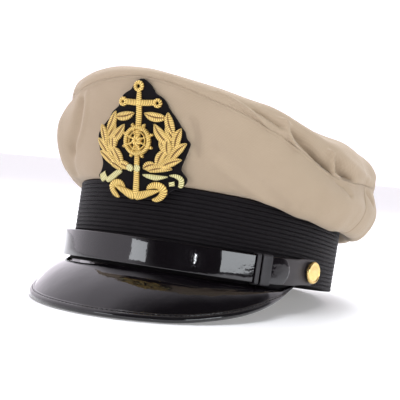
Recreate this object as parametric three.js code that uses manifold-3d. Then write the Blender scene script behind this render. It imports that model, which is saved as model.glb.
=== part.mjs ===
// A peaked sailor cap: soft cloth crown, ribbed braid band, patent visor and
// front strap, gold side buttons and a raised gold badge on black felt.
//
// The cap is worked out in its own frame, with the band's lower rim in the
// plane z = 0, the front toward -Y and the wearer's left toward +X. At the end
// it is leaned back until the visor's front edge and the rim's rear lie on one
// level, as the cap rests on a table.
import * as THREE from 'three';
import { mergeVertices } from 'three/addons/utils/BufferGeometryUtils.js';
import Module from 'manifold-3d';

const wasm = await Module();
wasm.setup();

// ---------------------------------------------------------------- sizes, mm
const bandLength = 209;          // front to back over the lower rim
const bandWidth = 167.2;         // side to side over the lower rim
const bandHeight = 44.5;
const bandWall = 2.6;
const bandFlare = 0.8;           // how much further out the upper rim stands
const ribCount = 17;
const ribDepth = 0.5;

const clothWall = 1.6;
const crownRise = 58.6;          // band to edge seam, at the front
const crownTopRise = 65.5;       // band to the top of the crown behind the badge
const crownMiddleRise = 61;      // band to the middle of the top
const overhang = 24;             // widest reach of the crown beyond the band
const slump = 7.5;               // how far the cloth hangs over the band
const topPuff = 2.2;             // how far the top bulges past the edge seam
const topShoulder = 26;          // width of the rounded edge of the top
const puckerDepth = 6;
const foldDepth = 3;
const quarterSeamAngle = 93;    // degrees round from the front
const quarterSeamDepth = 1.6;

const visorReach = 31;           // furthest the visor's edge stands forward
const visorDrop = 36;          // how far its edge lies below the band
const visorHalfAngle = 67.5;     // where the visor ends, degrees from the front
const visorWall = 2;
const visorRoot = 4.4;           // upright strip of the visor under the band
const visorBow = 2.2;            // how far the visor curves up from straight
const bindingWidth = 4.6;
const bindingThickness = 3.2;

const strapWidth = 16.2;
const strapThickness = 1.6;
const strapTipLength = 7;
const strapTipAngle = 60.3;        // where the front strap's rounded tip ends
const strapUnderAngle = 34;      // where the under strap ends, hidden
const keeperWall = 0.9;
const keeperNarrow = 2.2;
const keeperWide = 6.4;
const keeperNarrowAngle = 45.3;
const keeperWideAngle = 48.9;

const buttonDiameter = 14;
const buttonThickness = 2.6;
const buttonStem = 4;            // diameter of the stem
const buttonStandoff = 3.4;      // band to the back of the disc
const buttonAngle = 76.1;
const buttonHeight = 8.8;        // above the band's lower rim

const badgeHeight = 69.6;
const badgeWidth = 65;
const badgeThickness = 2;
const badgeOverlap = 10.5;       // how far the badge reaches down over the band
const badgeFoot = bandHeight - badgeOverlap;
const badgeLean = 12.1;          // degrees the badge leans forward
const badgeBend = 100;           // radius it is bent to
const badgeAngle = 2.4;          // degrees it sits to the wearer's left
const reliefHeight = 1.7;        // gold work above the felt

const seat = 0.3;                // clearance between pieces that touch
const roundSides = 44;

// ----------------------------------------------------------------- tables
// The crown round the head. Angles in degrees from the front, toward the
// wearer's left. seamUp is a share of crownRise, seamOut and bellyOut are
// shares of overhang, slack runs from the stiff front form (0) to the
// slumped form (1), and topUp is the top's height as a share of crownTopRise.
const CROWN_ROWS = [
  { angle: -180, seamUp: 0.46, seamOut: 0.78, bellyOut: 1.00, slack: 1.00, topUp: 0.79 },
  { angle: -140, seamUp: 0.48, seamOut: 0.78, bellyOut: 1.00, slack: 1.00, topUp: 0.80 },
  { angle: -108, seamUp: 0.55, seamOut: 0.80, bellyOut: 0.98, slack: 1.00, topUp: 0.84 },
  { angle: -80, seamUp: 0.68, seamOut: 0.78, bellyOut: 1.04, slack: 0.90, topUp: 0.89 },
  { angle: -60, seamUp: 0.81, seamOut: 0.72, bellyOut: 1.11, slack: 0.75, topUp: 0.94 },
  { angle: -43, seamUp: 0.89, seamOut: 0.65, bellyOut: 1.08, slack: 0.60, topUp: 0.985 },
  { angle: -24, seamUp: 0.91, seamOut: 0.66, bellyOut: 0.78, slack: 0.22, topUp: 1.03 },
  { angle: -12, seamUp: 0.97, seamOut: 0.64, bellyOut: 0.65, slack: 0.05, topUp: 1.04 },
  { angle: 0, seamUp: 1.00, seamOut: 0.62, bellyOut: 0.62, slack: 0.00, topUp: 1.03 },
  { angle: 9, seamUp: 0.98, seamOut: 0.62, bellyOut: 0.62, slack: 0.00, topUp: 1.01 },
  { angle: 20, seamUp: 0.88, seamOut: 0.66, bellyOut: 0.67, slack: 0.10, topUp: 0.965 },
  { angle: 32, seamUp: 0.76, seamOut: 0.70, bellyOut: 0.76, slack: 0.35, topUp: 0.9 },
  { angle: 43, seamUp: 0.64, seamOut: 0.74, bellyOut: 0.84, slack: 0.60, topUp: 0.845 },
  { angle: 54, seamUp: 0.49, seamOut: 0.76, bellyOut: 0.90, slack: 0.80, topUp: 0.8 },
  { angle: 66, seamUp: 0.38, seamOut: 0.78, bellyOut: 0.94, slack: 0.95, topUp: 0.775 },
  { angle: 80, seamUp: 0.38, seamOut: 0.80, bellyOut: 0.97, slack: 1.00, topUp: 0.765 },
  { angle: 96, seamUp: 0.43, seamOut: 0.80, bellyOut: 1.00, slack: 1.00, topUp: 0.74 },
  { angle: 120, seamUp: 0.45, seamOut: 0.78, bellyOut: 1.00, slack: 1.00, topUp: 0.705 },
  { angle: 150, seamUp: 0.45, seamOut: 0.78, bellyOut: 1.00, slack: 1.00, topUp: 0.74 },
  { angle: 180, seamUp: 0.46, seamOut: 0.78, bellyOut: 1.00, slack: 1.00, topUp: 0.79 },
];

// The side of the crown from the band up to the edge seam. Out is a share of
// the local belly, up a share of the local seam height and hang a share of
// slump; toSeam moves a station from the belly's reach to the seam's.
const SIDE_FORM = [
  { stiffOut: 0.00, stiffUp: 0.00, slackOut: 0.00, slackUp: 0.00, hang: 0.00, toSeam: 0.0 },
  { stiffOut: 0.10, stiffUp: 0.03, slackOut: 0.09, slackUp: 0.00, hang: 0.10, toSeam: 0.0 },
  { stiffOut: 0.20, stiffUp: 0.10, slackOut: 0.19, slackUp: 0.00, hang: 0.62, toSeam: 0.0 },
  { stiffOut: 0.32, stiffUp: 0.21, slackOut: 0.36, slackUp: 0.00, hang: 1.00, toSeam: 0.0 },
  { stiffOut: 0.44, stiffUp: 0.34, slackOut: 0.62, slackUp: 0.03, hang: 0.85, toSeam: 0.0 },
  { stiffOut: 0.57, stiffUp: 0.48, slackOut: 0.85, slackUp: 0.15, hang: 0.35, toSeam: 0.0 },
  { stiffOut: 0.70, stiffUp: 0.62, slackOut: 0.97, slackUp: 0.33, hang: 0.00, toSeam: 0.0 },
  { stiffOut: 0.82, stiffUp: 0.76, slackOut: 1.00, slackUp: 0.56, hang: 0.00, toSeam: 0.15 },
  { stiffOut: 0.91, stiffUp: 0.88, slackOut: 1.00, slackUp: 0.80, hang: 0.00, toSeam: 0.55 },
  { stiffOut: 1.00, stiffUp: 1.00, slackOut: 1.00, slackUp: 1.00, hang: 0.00, toSeam: 1.0 },
];

// The edge of the top from the seam up. Out is a share of topPuff, inward a
// share of topShoulder and up a share of the rise from seam to level top.
const TOP_FORM = [
  { out: 0.00, inward: 0.00, up: 0.00 },
  { out: 0.75, inward: 0.00, up: 0.10 },
  { out: 1.00, inward: 0.00, up: 0.30 },
  { out: 0.80, inward: 0.04, up: 0.52 },
  { out: 0.30, inward: 0.16, up: 0.74 },
  { out: 0.00, inward: 0.42, up: 0.90 },
  { out: 0.00, inward: 1.00, up: 0.98 },
];
const TOP_RINGS = [0.66, 0.33];  // rings of the level top, shares of its radius

// Puckers in the edge of the top: hollows that lean from foot (at the seam)
// to head (at the level top). Angles and widths in degrees, depth a share of
// puckerDepth.
const PUCKERS = [
  { foot: 45, head: 38, width: 5, depth: 0.6 },
  { foot: 66, head: 50, width: 6, depth: 1.0 },
  { foot: 84, head: 68, width: 6, depth: 0.9 },
  { foot: 128, head: 136, width: 9, depth: 0.6 },
  { foot: -72, head: -62, width: 9, depth: 0.6 },
  { foot: -118, head: -128, width: 9, depth: 0.6 },
];

// Upright folds in the crown's side, between two shares of its height.
const SIDE_FOLDS = [
  { foot: -30, head: -25, width: 4, depth: 0.7, low: 0.35, high: 1.05 },
  { foot: -56, head: -50, width: 6, depth: 1.0, low: 0.20, high: 0.90 },
  { foot: -84, head: -88, width: 8, depth: 0.8, low: 0.10, high: 0.90 },
];

// The visor's edge from its middle to its end. at is a share of
// visorHalfAngle, out a share of visorReach and lift a share of visorDrop
// above the level on which the cap rests.
const VISOR_ROWS = [
  { at: 0.000, out: 1.000, lift: 0.000 },
  { at: 0.143, out: 0.965, lift: 0.000 },
  { at: 0.286, out: 0.870, lift: 0.000 },
  { at: 0.360, out: 0.800, lift: 0.014 },
  { at: 0.430, out: 0.720, lift: 0.040 },
  { at: 0.571, out: 0.530, lift: 0.100 },
  { at: 0.714, out: 0.340, lift: 0.196 },
  { at: 0.857, out: 0.170, lift: 0.338 },
  { at: 0.950, out: 0.085, lift: 0.460 },
  { at: 1.000, out: 0.050, lift: 0.520 },
];

// The straps round the band: height of the centre line as a share of the
// button's height, and stand-off from the band as a share of the stem length.
const STRAP_ROWS = [
  { angle: -78.3, height: 1.00, off: 0.30 },
  { angle: -72.3, height: 0.92, off: 0.34 },
  { angle: -70, height: 0.82, off: 0.85 },
  { angle: -58, height: 0.68, off: 1.40 },
  { angle: -42, height: 0.52, off: 1.35 },
  { angle: -20, height: 0.45, off: 1.00 },
  { angle: 0, height: 0.44, off: 0.76 },
  { angle: 20, height: 0.45, off: 0.72 },
  { angle: 46, height: 0.54, off: 0.66 },
  { angle: 64, height: 0.75, off: 0.60 },
  { angle: 71.3, height: 0.92, off: 0.36 },
  { angle: 78.3, height: 1.00, off: 0.30 },
];
// ------------------------------------------------------------ small helpers
const rad = THREE.MathUtils.degToRad;
const lerp = THREE.MathUtils.lerp;
const halfLength = bandLength / 2;
const halfWidth = bandWidth / 2;

/** Cubic value of one column of a table at a place along its key column. */
function column(rows, key, name, at) {
  let i = 0;
  while (i < rows.length - 2 && at > rows[i + 1][key]) i += 1;
  const [p0, p1, p2, p3] = [i - 1, i, i + 1, i + 2]
    .map((j) => rows[THREE.MathUtils.clamp(j, 0, rows.length - 1)]);
  const span = p2[key] - p1[key];
  const slope = (a, b) => (a === b ? 0 : (b[name] - a[name]) / (b[key] - a[key]));
  const s = THREE.MathUtils.clamp((at - p1[key]) / span, 0, 1);
  const [m1, m2] = [slope(p0, p2) * span, slope(p1, p3) * span];
  const [s2, s3] = [s * s, s * s * s];
  return (2 * s3 - 3 * s2 + 1) * p1[name] + (s3 - 2 * s2 + s) * m1
    + (3 * s2 - 2 * s3) * p2[name] + (s3 - s2) * m2;
}

/** Point at an angle from the front, a distance outside the band, at height z. */
function around(angle, out, z) {
  const [s, c] = [Math.sin(rad(angle)), Math.cos(rad(angle))];
  const r = 1 / Math.hypot(s / halfWidth, c / halfLength);
  const normal = outward(angle);
  return new THREE.Vector3(r * s, -r * c, z).addScaledVector(normal, out);
}

/** Outward direction of the band's oval at an angle from the front. */
function outward(angle) {
  const [s, c] = [Math.sin(rad(angle)), Math.cos(rad(angle))];
  return new THREE.Vector3(s / halfWidth ** 2, -c / halfLength ** 2, 0).normalize();
}

/** How far the band's outside stands beyond its lower rim at height z. */
const bandOut = (z) => bandFlare * z / bandHeight;

const bell = (d, width) => Math.exp(-((d / width) ** 2));

/** Shifts an open profile of [out, z] pairs sideways; + is to its left. */
function shifted(profile, distance) {
  return profile.map((p, i) => {
    const a = profile[Math.max(i - 1, 0)];
    const b = profile[Math.min(i + 1, profile.length - 1)];
    const [dx, dz] = [b[0] - a[0], b[1] - a[1]];
    const len = Math.hypot(dx, dz);
    return [p[0] - dz / len * distance, p[1] + dx / len * distance];
  });
}

/** Geometry from points and triangles, turned so that its faces point out. */
function solid(points, faces) {
  let volume = 0;
  for (const [a, b, c] of faces) {
    volume += points[a].dot(new THREE.Vector3().crossVectors(points[b], points[c]));
  }
  const index = faces.flatMap(([a, b, c]) => (volume < 0 ? [a, c, b] : [a, b, c]));
  const geometry = new THREE.BufferGeometry();
  geometry.setAttribute('position', new THREE.Float32BufferAttribute(
    points.flatMap((p) => [p.x, p.y, p.z]), 3));
  geometry.setIndex(index);
  return geometry;
}

/** Body through a row of closed loops with equal counts; open rows get caps. */
function loft(loops, closed = false) {
  const n = loops[0].length;
  const faces = [];
  const rows = closed ? loops.length : loops.length - 1;
  for (let i = 0; i < rows; i += 1) {
    const j = (i + 1) % loops.length;
    for (let k = 0; k < n; k += 1) {
      const l = (k + 1) % n;
      faces.push([i * n + k, i * n + l, j * n + k], [i * n + l, j * n + l, j * n + k]);
    }
  }
  if (!closed) {
    const last = (loops.length - 1) * n;
    for (let lo = 0, hi = n - 1; hi - lo > 1; lo += 1, hi -= 1) {
      const quad = [lo, lo + 1, hi, hi - 1];
      faces.push([quad[0], quad[2], quad[1]], [last + quad[0], last + quad[1], last + quad[2]]);
      if (quad[1] !== quad[3]) {
        faces.push([quad[1], quad[2], quad[3]],
          [last + quad[1], last + quad[3], last + quad[2]]);
      }
    }
  }
  return solid(loops.flat(), faces);
}

/** Dome between an outer and an inner skin, each rings from rim to a centre. */
function dome(outerRings, outerCentre, innerRings, innerCentre) {
  const n = outerRings[0].length;
  const faces = [];
  const points = [...outerRings.flat(), outerCentre, ...innerRings.flat(), innerCentre];
  const innerStart = outerRings.length * n + 1;
  const skin = (start, count, flip) => {
    const push = (a, b, c) => faces.push(flip ? [a, c, b] : [a, b, c]);
    for (let i = 0; i < count; i += 1) {
      for (let k = 0; k < n; k += 1) {
        const l = (k + 1) % n;
        const [p, q] = [start + i * n + k, start + i * n + l];
        if (i === count - 1) push(p, q, start + count * n);
        else { push(p, q, p + n); push(q, q + n, p + n); }
      }
    }
  };
  skin(0, outerRings.length, false);
  skin(innerStart, innerRings.length, true);
  for (let k = 0; k < n; k += 1) {
    const l = (k + 1) % n;
    faces.push([k, innerStart + k, l], [l, innerStart + k, innerStart + l]);
  }
  return solid(points, faces);
}

const toManifold = (geometry) => {
  const g = geometry.clone();
  g.deleteAttribute('normal');
  g.deleteAttribute('uv');
  const merged = mergeVertices(g, 1e-4);
  return new wasm.Manifold(new wasm.Mesh({
    numProp: 3,
    vertProperties: new Float32Array(merged.attributes.position.array),
    triVerts: new Uint32Array(merged.index.array),
  }));
};

const fromManifold = (body) => {
  const mesh = body.getMesh();
  const geometry = new THREE.BufferGeometry();
  geometry.setAttribute('position', new THREE.Float32BufferAttribute(mesh.vertProperties, 3));
  geometry.setIndex([...mesh.triVerts]);
  return geometry;
};

const joined = (geometries) => fromManifold(
  geometries.map(toManifold).reduce((whole, piece) => whole.add(piece)));

const cut = (geometry, tool) => fromManifold(toManifold(geometry).subtract(toManifold(tool)));

// --------------------------------------------------------------- materials
const finish = (color, roughness, metalness = 0) => new THREE.MeshStandardMaterial(
  { color, roughness, metalness });
const khaki = finish(0xcbb797, 0.9);
const braid = finish(0x1c191c, 0.75);
const patent = finish(0x0b090b, 0.12);
const felt = finish(0x0d0b0d, 0.95);
const gold = finish(0xe0a83c, 0.4, 0.6);
const brass = finish(0xd9a441, 0.22, 0.95);
const paleGold = finish(0xdfc878, 0.5, 0.4);

const capFrame = new THREE.Group();
/** Names a geometry, gives it its finish and adds it to a group. */
function add(name, geometry, material, group = capFrame) {
  geometry.computeVertexNormals();
  const mesh = new THREE.Mesh(geometry, material);
  mesh.name = name;
  group.add(mesh);
  return mesh;
}

const ringAngles = Array.from({ length: roundSides }, (_, i) => (
  -180 + (i + 0.5) * 360 / roundSides));

// -------------------------------------------------------------------- band
function bandGeometry() {
  const pitch = bandHeight / ribCount;
  const outside = [];
  for (let i = 0; i < ribCount; i += 1) {
    outside.push([-ribDepth, i * pitch], [0, (i + 0.5) * pitch]);
  }
  outside.push([-ribDepth, bandHeight]);
  const loop = [
    ...outside.map(([out, z]) => [out + bandOut(z), z]),
    [bandOut(bandHeight) - bandWall, bandHeight],
    [-bandWall, 0],
  ];
  return loft(ringAngles.map((a) => loop.map(([out, z]) => around(a, out, z))), true);
}
add('band', bandGeometry(), braid);

// ------------------------------------------------------------------- crown
// The crown's pieces share their places round the head, so that they follow
// each other along the seams.
const crownAngles = [
  ...ringAngles.filter((a) => Math.abs(Math.abs(a) - quarterSeamAngle) > 2),
  -quarterSeamAngle, quarterSeamAngle,
].sort((a, b) => a - b);

const crownRow = (name, angle) => column(CROWN_ROWS, 'angle', name, angle);
const seamRise = (angle) => crownRise * crownRow('seamUp', angle);
const seamReach = (angle) => overhang * crownRow('seamOut', angle);

/** How far the quarter seams draw the cloth in at an angle. */
const quarterPull = (angle) => quarterSeamDepth
  * bell(Math.abs(angle) - quarterSeamAngle, 7);

/** Outer profile of the crown's side at an angle, band to seam. */
function sideProfile(angle) {
  const slack = crownRow('slack', angle);
  const belly = overhang * crownRow('bellyOut', angle);
  const foot = bandOut(bandHeight) - 1;
  return SIDE_FORM.map((row) => {
    const reach = lerp(belly, seamReach(angle), row.toSeam);
    const share = lerp(row.stiffOut, row.slackOut, slack);
    const up = lerp(row.stiffUp, row.slackUp, slack);
    let pull = 0;
    for (const fold of SIDE_FOLDS) {
      const place = THREE.MathUtils.clamp((up - fold.low) / (fold.high - fold.low), 0, 1);
      const middle = lerp(fold.foot, fold.head, up);
      pull += foldDepth * fold.depth * Math.sin(Math.PI * place)
        * bell(angle - middle, fold.width);
    }
    pull += quarterPull(angle) * share;
    return [
      foot + (reach - foot) * share - pull,
      bandHeight + seat + seamRise(angle) * up - slump * slack * row.hang,
    ];
  });
}

/** Part of the crown's side between two angles, a wall of cloth. */
function sideGeometry(from, to) {
  const loops = [];
  const between = crownAngles.map((a) => (a < from ? a + 360 : a))
    .filter((a) => a > from + 1 && a < to - 1).sort((a, b) => a - b);
  for (const angle of [from, ...between, to]) {
    const wrapped = ((angle + 540) % 360) - 180;
    const outer = sideProfile(wrapped);
    const inner = shifted(outer, clothWall);
    inner[0][1] = outer[0][1];
    loops.push([...outer, ...inner.reverse()].map(([out, z]) => around(wrapped, out, z)));
  }
  return loft(loops);
}
const seamGap = 0.1;             // half the gap at a quarter seam, in degrees
add('crown_side_front', sideGeometry(
  -quarterSeamAngle + seamGap, quarterSeamAngle - seamGap), khaki);
add('crown_side_back', sideGeometry(
  quarterSeamAngle + seamGap, 360 - quarterSeamAngle - seamGap), khaki);

/** Outer profile of the top's edge at an angle, seam to level top. */
function topProfile(angle) {
  const rise = crownTopRise * crownRow('topUp', angle) - seamRise(angle);
  return TOP_FORM.map((row) => {
    let pull = 0;
    for (const pucker of PUCKERS) {
      const middle = lerp(pucker.foot, pucker.head, row.up);
      pull += puckerDepth * pucker.depth * Math.sin(Math.PI * Math.min(row.up + 0.12, 1))
        * bell(angle - middle, pucker.width) * Math.min(rise / (crownTopRise * 0.3), 1);
    }
    return [
      seamReach(angle) - quarterPull(angle) + topPuff * row.out
        - topShoulder * row.inward - pull,
      bandHeight + 2 * seat + seamRise(angle) + rise * row.up,
    ];
  });
}

function topGeometry() {
  const middleHeight = bandHeight + 2 * seat + crownMiddleRise;
  const skins = [0, clothWall].map((inset) => {
    const profiles = crownAngles.map((a) => shifted(topProfile(a), inset));
    const rings = TOP_FORM.map((_, k) => crownAngles.map(
      (a, i) => around(a, profiles[i][k][0], profiles[i][k][1])));
    const centre = new THREE.Vector3(0, 0, middleHeight - inset);
    const edge = rings[rings.length - 1];
    for (const share of TOP_RINGS) {
      rings.push(edge.map((p) => centre.clone().lerp(p, share)));
    }
    return { rings, centre };
  });
  return dome(skins[0].rings, skins[0].centre, skins[1].rings, skins[1].centre);
}
add('crown_top', topGeometry(), khaki);

// ------------------------------------------------------------------- visor
const restSlope = visorDrop / (bandLength + visorReach);
/** Height of the resting level at a place front to back. */
const restHeight = (y) => (y - halfLength) * restSlope;

/** Edge, root and directions of the visor's section at a share of its arc. */
function visorSection(at) {
  const angle = visorHalfAngle * at;
  const key = Math.abs(at);
  const out = visorReach * column(VISOR_ROWS, 'at', 'out', key);
  const lift = visorDrop * column(VISOR_ROWS, 'at', 'lift', key);
  const z = Math.min(restHeight(around(angle, out, 0).y) + lift, -seat - visorWall * 0.8);
  const edge = [out, z];
  const root = [0.2, Math.max(-seat - visorRoot, z * 0.5)];
  const run = [root[0] - out, root[1] - z];
  const length = Math.hypot(...run);
  const along = run.map((v) => v / length);
  return {
    angle, edge, root, along, length,
    up: [along[1], -along[0]],
    scale: Math.min(1, length / (3.2 * bindingWidth)),
  };
}

/** Place a distance along and above the visor's edge within its section. */
const fromEdge = ({ edge, along, up, scale }, inward, above) => [0, 1].map(
  (i) => edge[i] + (along[i] * inward + up[i] * above) * scale);

const visorSteps = Array.from({ length: 29 }, (_, i) => -1 + i / 14);

function visorGeometry() {
  const below = (bindingThickness - visorWall) / 2;
  return loft(visorSteps.map((at) => {
    const section = visorSection(at);
    const end = fromEdge(section, bindingWidth, below + visorWall)
      .map((v, i) => v + section.along[i] * seat);
    const upper = [[section.root[0], -seat], section.root];
    for (const s of [0.2, 0.45, 0.72]) {
      const bow = visorBow * 4 * s * (1 - s) * section.scale;
      upper.push([0, 1].map((i) => lerp(section.root[i], end[i], s) + section.up[i] * bow));
    }
    upper.push(end);
    const lower = shifted(upper, -visorWall * section.scale);
    lower[0][1] = upper[0][1];
    return [...upper, ...lower.reverse()].map(([out, z]) => around(section.angle, out, z));
  }));
}
add('visor', visorGeometry(), patent);

// Section of the rolled binding: shares of bindingWidth and bindingThickness.
const BINDING_FORM = [
  { inward: 0.00, above: 0.00 },
  { inward: 1.00, above: 0.00 },
  { inward: 1.00, above: 1.00 },
  { inward: 0.40, above: 1.00 },
  { inward: 0.05, above: 0.55 },
];

function bindingGeometry() {
  return loft(visorSteps.map((at) => {
    const section = visorSection(at);
    return BINDING_FORM.map((p) => around(section.angle, ...fromEdge(
      section, bindingWidth * p.inward, bindingThickness * p.above)));
  }));
}
add('visor_binding', bindingGeometry(), patent);

// ------------------------------------------------------- straps and buttons
const strapHeight = (angle) => buttonHeight * column(STRAP_ROWS, 'angle', 'height', angle);
const underOff = (angle) => buttonStandoff * column(STRAP_ROWS, 'angle', 'off', angle);
/** Length of arc for one degree round the band. */
const arcPerDegree = (angle) => around(angle - 0.5, 0, 0).distanceTo(around(angle + 0.5, 0, 0));
/** The front strap climbs onto the under strap before that begins. */
const frontOff = (angle) => underOff(angle) + (strapThickness + seat)
  * THREE.MathUtils.smoothstep(angle, strapUnderAngle - 15, strapUnderAngle - 1);

/** A strap between two angles with the ends asked for rounded. */
function strapGeometry(from, to, offAt, roundFrom, roundTo) {
  const tip = (angle) => strapTipLength / arcPerDegree(angle);
  const tips = [0, 0.06, 0.25, 0.55, 1];
  const angles = [
    ...(roundFrom ? tips.map((s) => from + s * tip(from)) : [from]),
    ...(roundTo ? tips.map((s) => to - s * tip(to)) : [to]),
  ];
  const [first, last] = [from + (roundFrom ? tip(from) : 0), to - (roundTo ? tip(to) : 0)];
  const count = Math.round((last - first) / 5);
  for (let i = 1; i < count; i += 1) angles.push(lerp(first, last, i / count));
  angles.sort((a, b) => a - b);
  return loft(angles.map((angle) => {
    const near = Math.min(
      roundFrom ? (angle - from) / tip(from) : 1, roundTo ? (to - angle) / tip(to) : 1);
    const half = strapWidth / 2 * Math.max(Math.sqrt(1 - (1 - Math.min(near, 1)) ** 2), 0.06);
    const [z, off] = [strapHeight(angle), offAt(angle)];
    return [[off, -half], [off + strapThickness, -half], [off + strapThickness, half],
      [off, half]].map(([out, dz]) => around(angle, bandOut(z) + out, z + dz));
  }));
}

/** Turns a geometry made about +Y to stand on the band at an angle. */
function onBand(geometry, angle, z, out = 0) {
  const place = around(angle, bandOut(z) + out, z);
  const turn = new THREE.Quaternion().setFromUnitVectors(
    new THREE.Vector3(0, 1, 0), outward(angle));
  return geometry.applyQuaternion(turn).translate(place.x, place.y, place.z);
}

const buttonHole = (angle) => onBand(new THREE.CylinderGeometry(
  buttonStem / 2 + seat, buttonStem / 2 + seat, buttonStandoff * 3, 16), angle, buttonHeight);
const pastButton = strapWidth / 2 / arcPerDegree(buttonAngle);

add('strap_front', cut(strapGeometry(
  -buttonAngle - pastButton, strapTipAngle, frontOff, true, true), buttonHole(-buttonAngle)),
patent);
add('strap_under', cut(strapGeometry(
  strapUnderAngle, buttonAngle + pastButton, underOff, false, true), buttonHole(buttonAngle)),
patent);

// Half section of a button: radius and height as shares of the disc.
const BUTTON_FORM = [
  { radius: 0.88, rise: 0.00 },
  { radius: 1.00, rise: 0.30 },
  { radius: 0.96, rise: 0.85 },
  { radius: 0.84, rise: 1.00 },
];
function buttonGeometry(angle) {
  const profile = [
    [0, seat], [buttonStem / 2, seat], [buttonStem / 2, buttonStandoff],
    ...BUTTON_FORM.map((p) => [
      buttonDiameter / 2 * p.radius, buttonStandoff + buttonThickness * p.rise]),
    [0, buttonStandoff + buttonThickness],
  ].map(([r, h]) => new THREE.Vector2(r, h));
  const geometry = new THREE.LatheGeometry(profile, 20);
  geometry.deleteAttribute('uv');
  geometry.deleteAttribute('normal');
  return onBand(mergeVertices(geometry, 1e-4), angle, buttonHeight);
}
add('button_left', buttonGeometry(buttonAngle), brass);
add('button_right', buttonGeometry(-buttonAngle), brass);

/** Loop round both straps at an angle, a given length along them. */
function keeperGeometry(angle, length) {
  const z = strapHeight(angle);
  const inside = {
    low: -strapWidth / 2 - seat,
    high: strapWidth / 2 + seat,
    back: underOff(angle) - seat,
    front: frontOff(angle) + strapThickness + seat,
  };
  const frame = (grow) => [
    [inside.back - grow, inside.low - grow], [inside.front + grow, inside.low - grow],
    [inside.front + grow, inside.high + grow], [inside.back - grow, inside.high + grow],
  ];
  const half = length / 2 / arcPerDegree(angle);
  const corners = (a, grow) => frame(grow).map(
    ([out, dz]) => around(a, bandOut(z) + out, strapHeight(a) + dz));
  return loft([
    corners(angle - half, keeperWall), corners(angle + half, keeperWall),
    corners(angle + half, 0), corners(angle - half, 0),
  ], true);
}
add('keeper_narrow', keeperGeometry(keeperNarrowAngle, keeperNarrow), patent);
add('keeper_wide', keeperGeometry(keeperWideAngle, keeperWide), patent);

// ------------------------------------------------------------------- badge
const badge = new THREE.Group();
badge.rotation.z = rad(badgeAngle);
capFrame.add(badge);

/** Point on the bent badge: u to the wearer's left, v up, h off the felt. */
function badgePoint(u, v, h) {
  const lean = rad(badgeLean);
  const turn = u / badgeBend;
  const face = new THREE.Vector3(
    Math.sin(turn), -Math.cos(turn) * Math.cos(lean), -Math.cos(turn) * Math.sin(lean));
  const sag = badgeBend * (1 - Math.cos(turn));
  const foot = halfLength + bandOut(badgeFoot) + seat + 0.1 + badgeThickness;
  return new THREE.Vector3(
    badgeBend * Math.sin(turn),
    -foot - v * Math.sin(lean) + sag * Math.cos(lean),
    badgeFoot + v * Math.cos(lean) + sag * Math.sin(lean),
  ).addScaledVector(face, h);
}

// Outline of the felt: half width as a share of badgeWidth / 2 at shares of
// badgeHeight.
const PATCH_ROWS = [
  { up: 0.000, half: 0.24 }, { up: 0.035, half: 0.42 }, { up: 0.075, half: 0.62 },
  { up: 0.110, half: 0.80 }, { up: 0.140, half: 0.93 }, { up: 0.200, half: 0.94 },
  { up: 0.270, half: 0.84 }, { up: 0.330, half: 0.90 }, { up: 0.410, half: 0.98 },
  { up: 0.490, half: 1.00 }, { up: 0.570, half: 0.91 }, { up: 0.660, half: 0.76 },
  { up: 0.750, half: 0.61 }, { up: 0.850, half: 0.46 }, { up: 0.920, half: 0.32 },
  { up: 0.970, half: 0.20 }, { up: 1.000, half: 0.08 },
];
const acrossPatch = [-1, -0.6, -0.2, 0.2, 0.6, 1];
add('badge_patch', loft(PATCH_ROWS.map((row) => {
  const half = row.half * badgeWidth / 2;
  const at = (share, h) => badgePoint(share * half, row.up * badgeHeight, h);
  return [...acrossPatch.map((s) => at(s, 0)),
    ...acrossPatch.map((s) => at(s, -badgeThickness)).reverse()];
})), felt, badge);

/** Raised gold strip along stations [u, v, half width], shares of the badge. */
function raised(stations, {
  closed = false, low = seat, high = reliefHeight, crest = [0.5, -0.5],
} = {}) {
  const points = stations.map(([u, v]) => new THREE.Vector2(
    u * badgeWidth / 2, v * badgeHeight));
  return loft(points.map((p, i) => {
    const wrap = (j) => (j + points.length) % points.length;
    const before = points[closed ? wrap(i - 1) : Math.max(i - 1, 0)];
    const after = points[closed ? wrap(i + 1) : Math.min(i + 1, points.length - 1)];
    const side = after.clone().sub(before).normalize().rotateAround(new THREE.Vector2(), Math.PI / 2);
    const half = stations[i][2] * badgeWidth / 2;
    return [[-1, low], [1, low], ...crest.map((c) => [c, high])].map(([s, h]) => (
      badgePoint(p.x + side.x * half * s, p.y + side.y * half * s, h)));
  }), closed);
}

/** Ring on the badge about [u, v]. */
function raisedRing(u, v, { radius, half, sides }, options) {
  const stations = Array.from({ length: sides }, (_, i) => {
    const a = 2 * Math.PI * i / sides;
    return [u + 2 * radius * Math.cos(a),
      v + radius * Math.sin(a) * badgeWidth / badgeHeight, 2 * half];
  });
  return raised(stations, { ...options, closed: true });
}
/** Height a share of the relief above the felt's seat. */
const bed = (share) => seat + reliefHeight * share;

// Anchor strokes: stations of u, v and half width as shares of the badge.
const ANCHOR_STROKES = [
  { name: 'shank', stations: [[0, 0.03, 0.05], [0, 0.48, 0.05], [0, 0.905, 0.05]] },
  { name: 'stock', stations: [[-0.345, 0.812, 0.045], [-0.17, 0.812, 0.045],
    [0, 0.812, 0.045], [0.17, 0.812, 0.045], [0.345, 0.812, 0.045]] },
  { name: 'arms', stations: [[-0.53, 0.135, 0.03], [-0.38, 0.072, 0.05], [-0.19, 0.04, 0.05],
    [0, 0.03, 0.055], [0.19, 0.04, 0.05], [0.38, 0.072, 0.05], [0.53, 0.135, 0.03]] },
  { name: 'left fluke', stations: [[-0.63, 0.055, 0.02], [-0.55, 0.09, 0.09],
    [-0.43, 0.125, 0.08], [-0.30, 0.135, 0.02]] },
  { name: 'right fluke', stations: [[0.30, 0.135, 0.02], [0.43, 0.125, 0.08],
    [0.55, 0.09, 0.09], [0.63, 0.055, 0.02]] },
];
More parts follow.
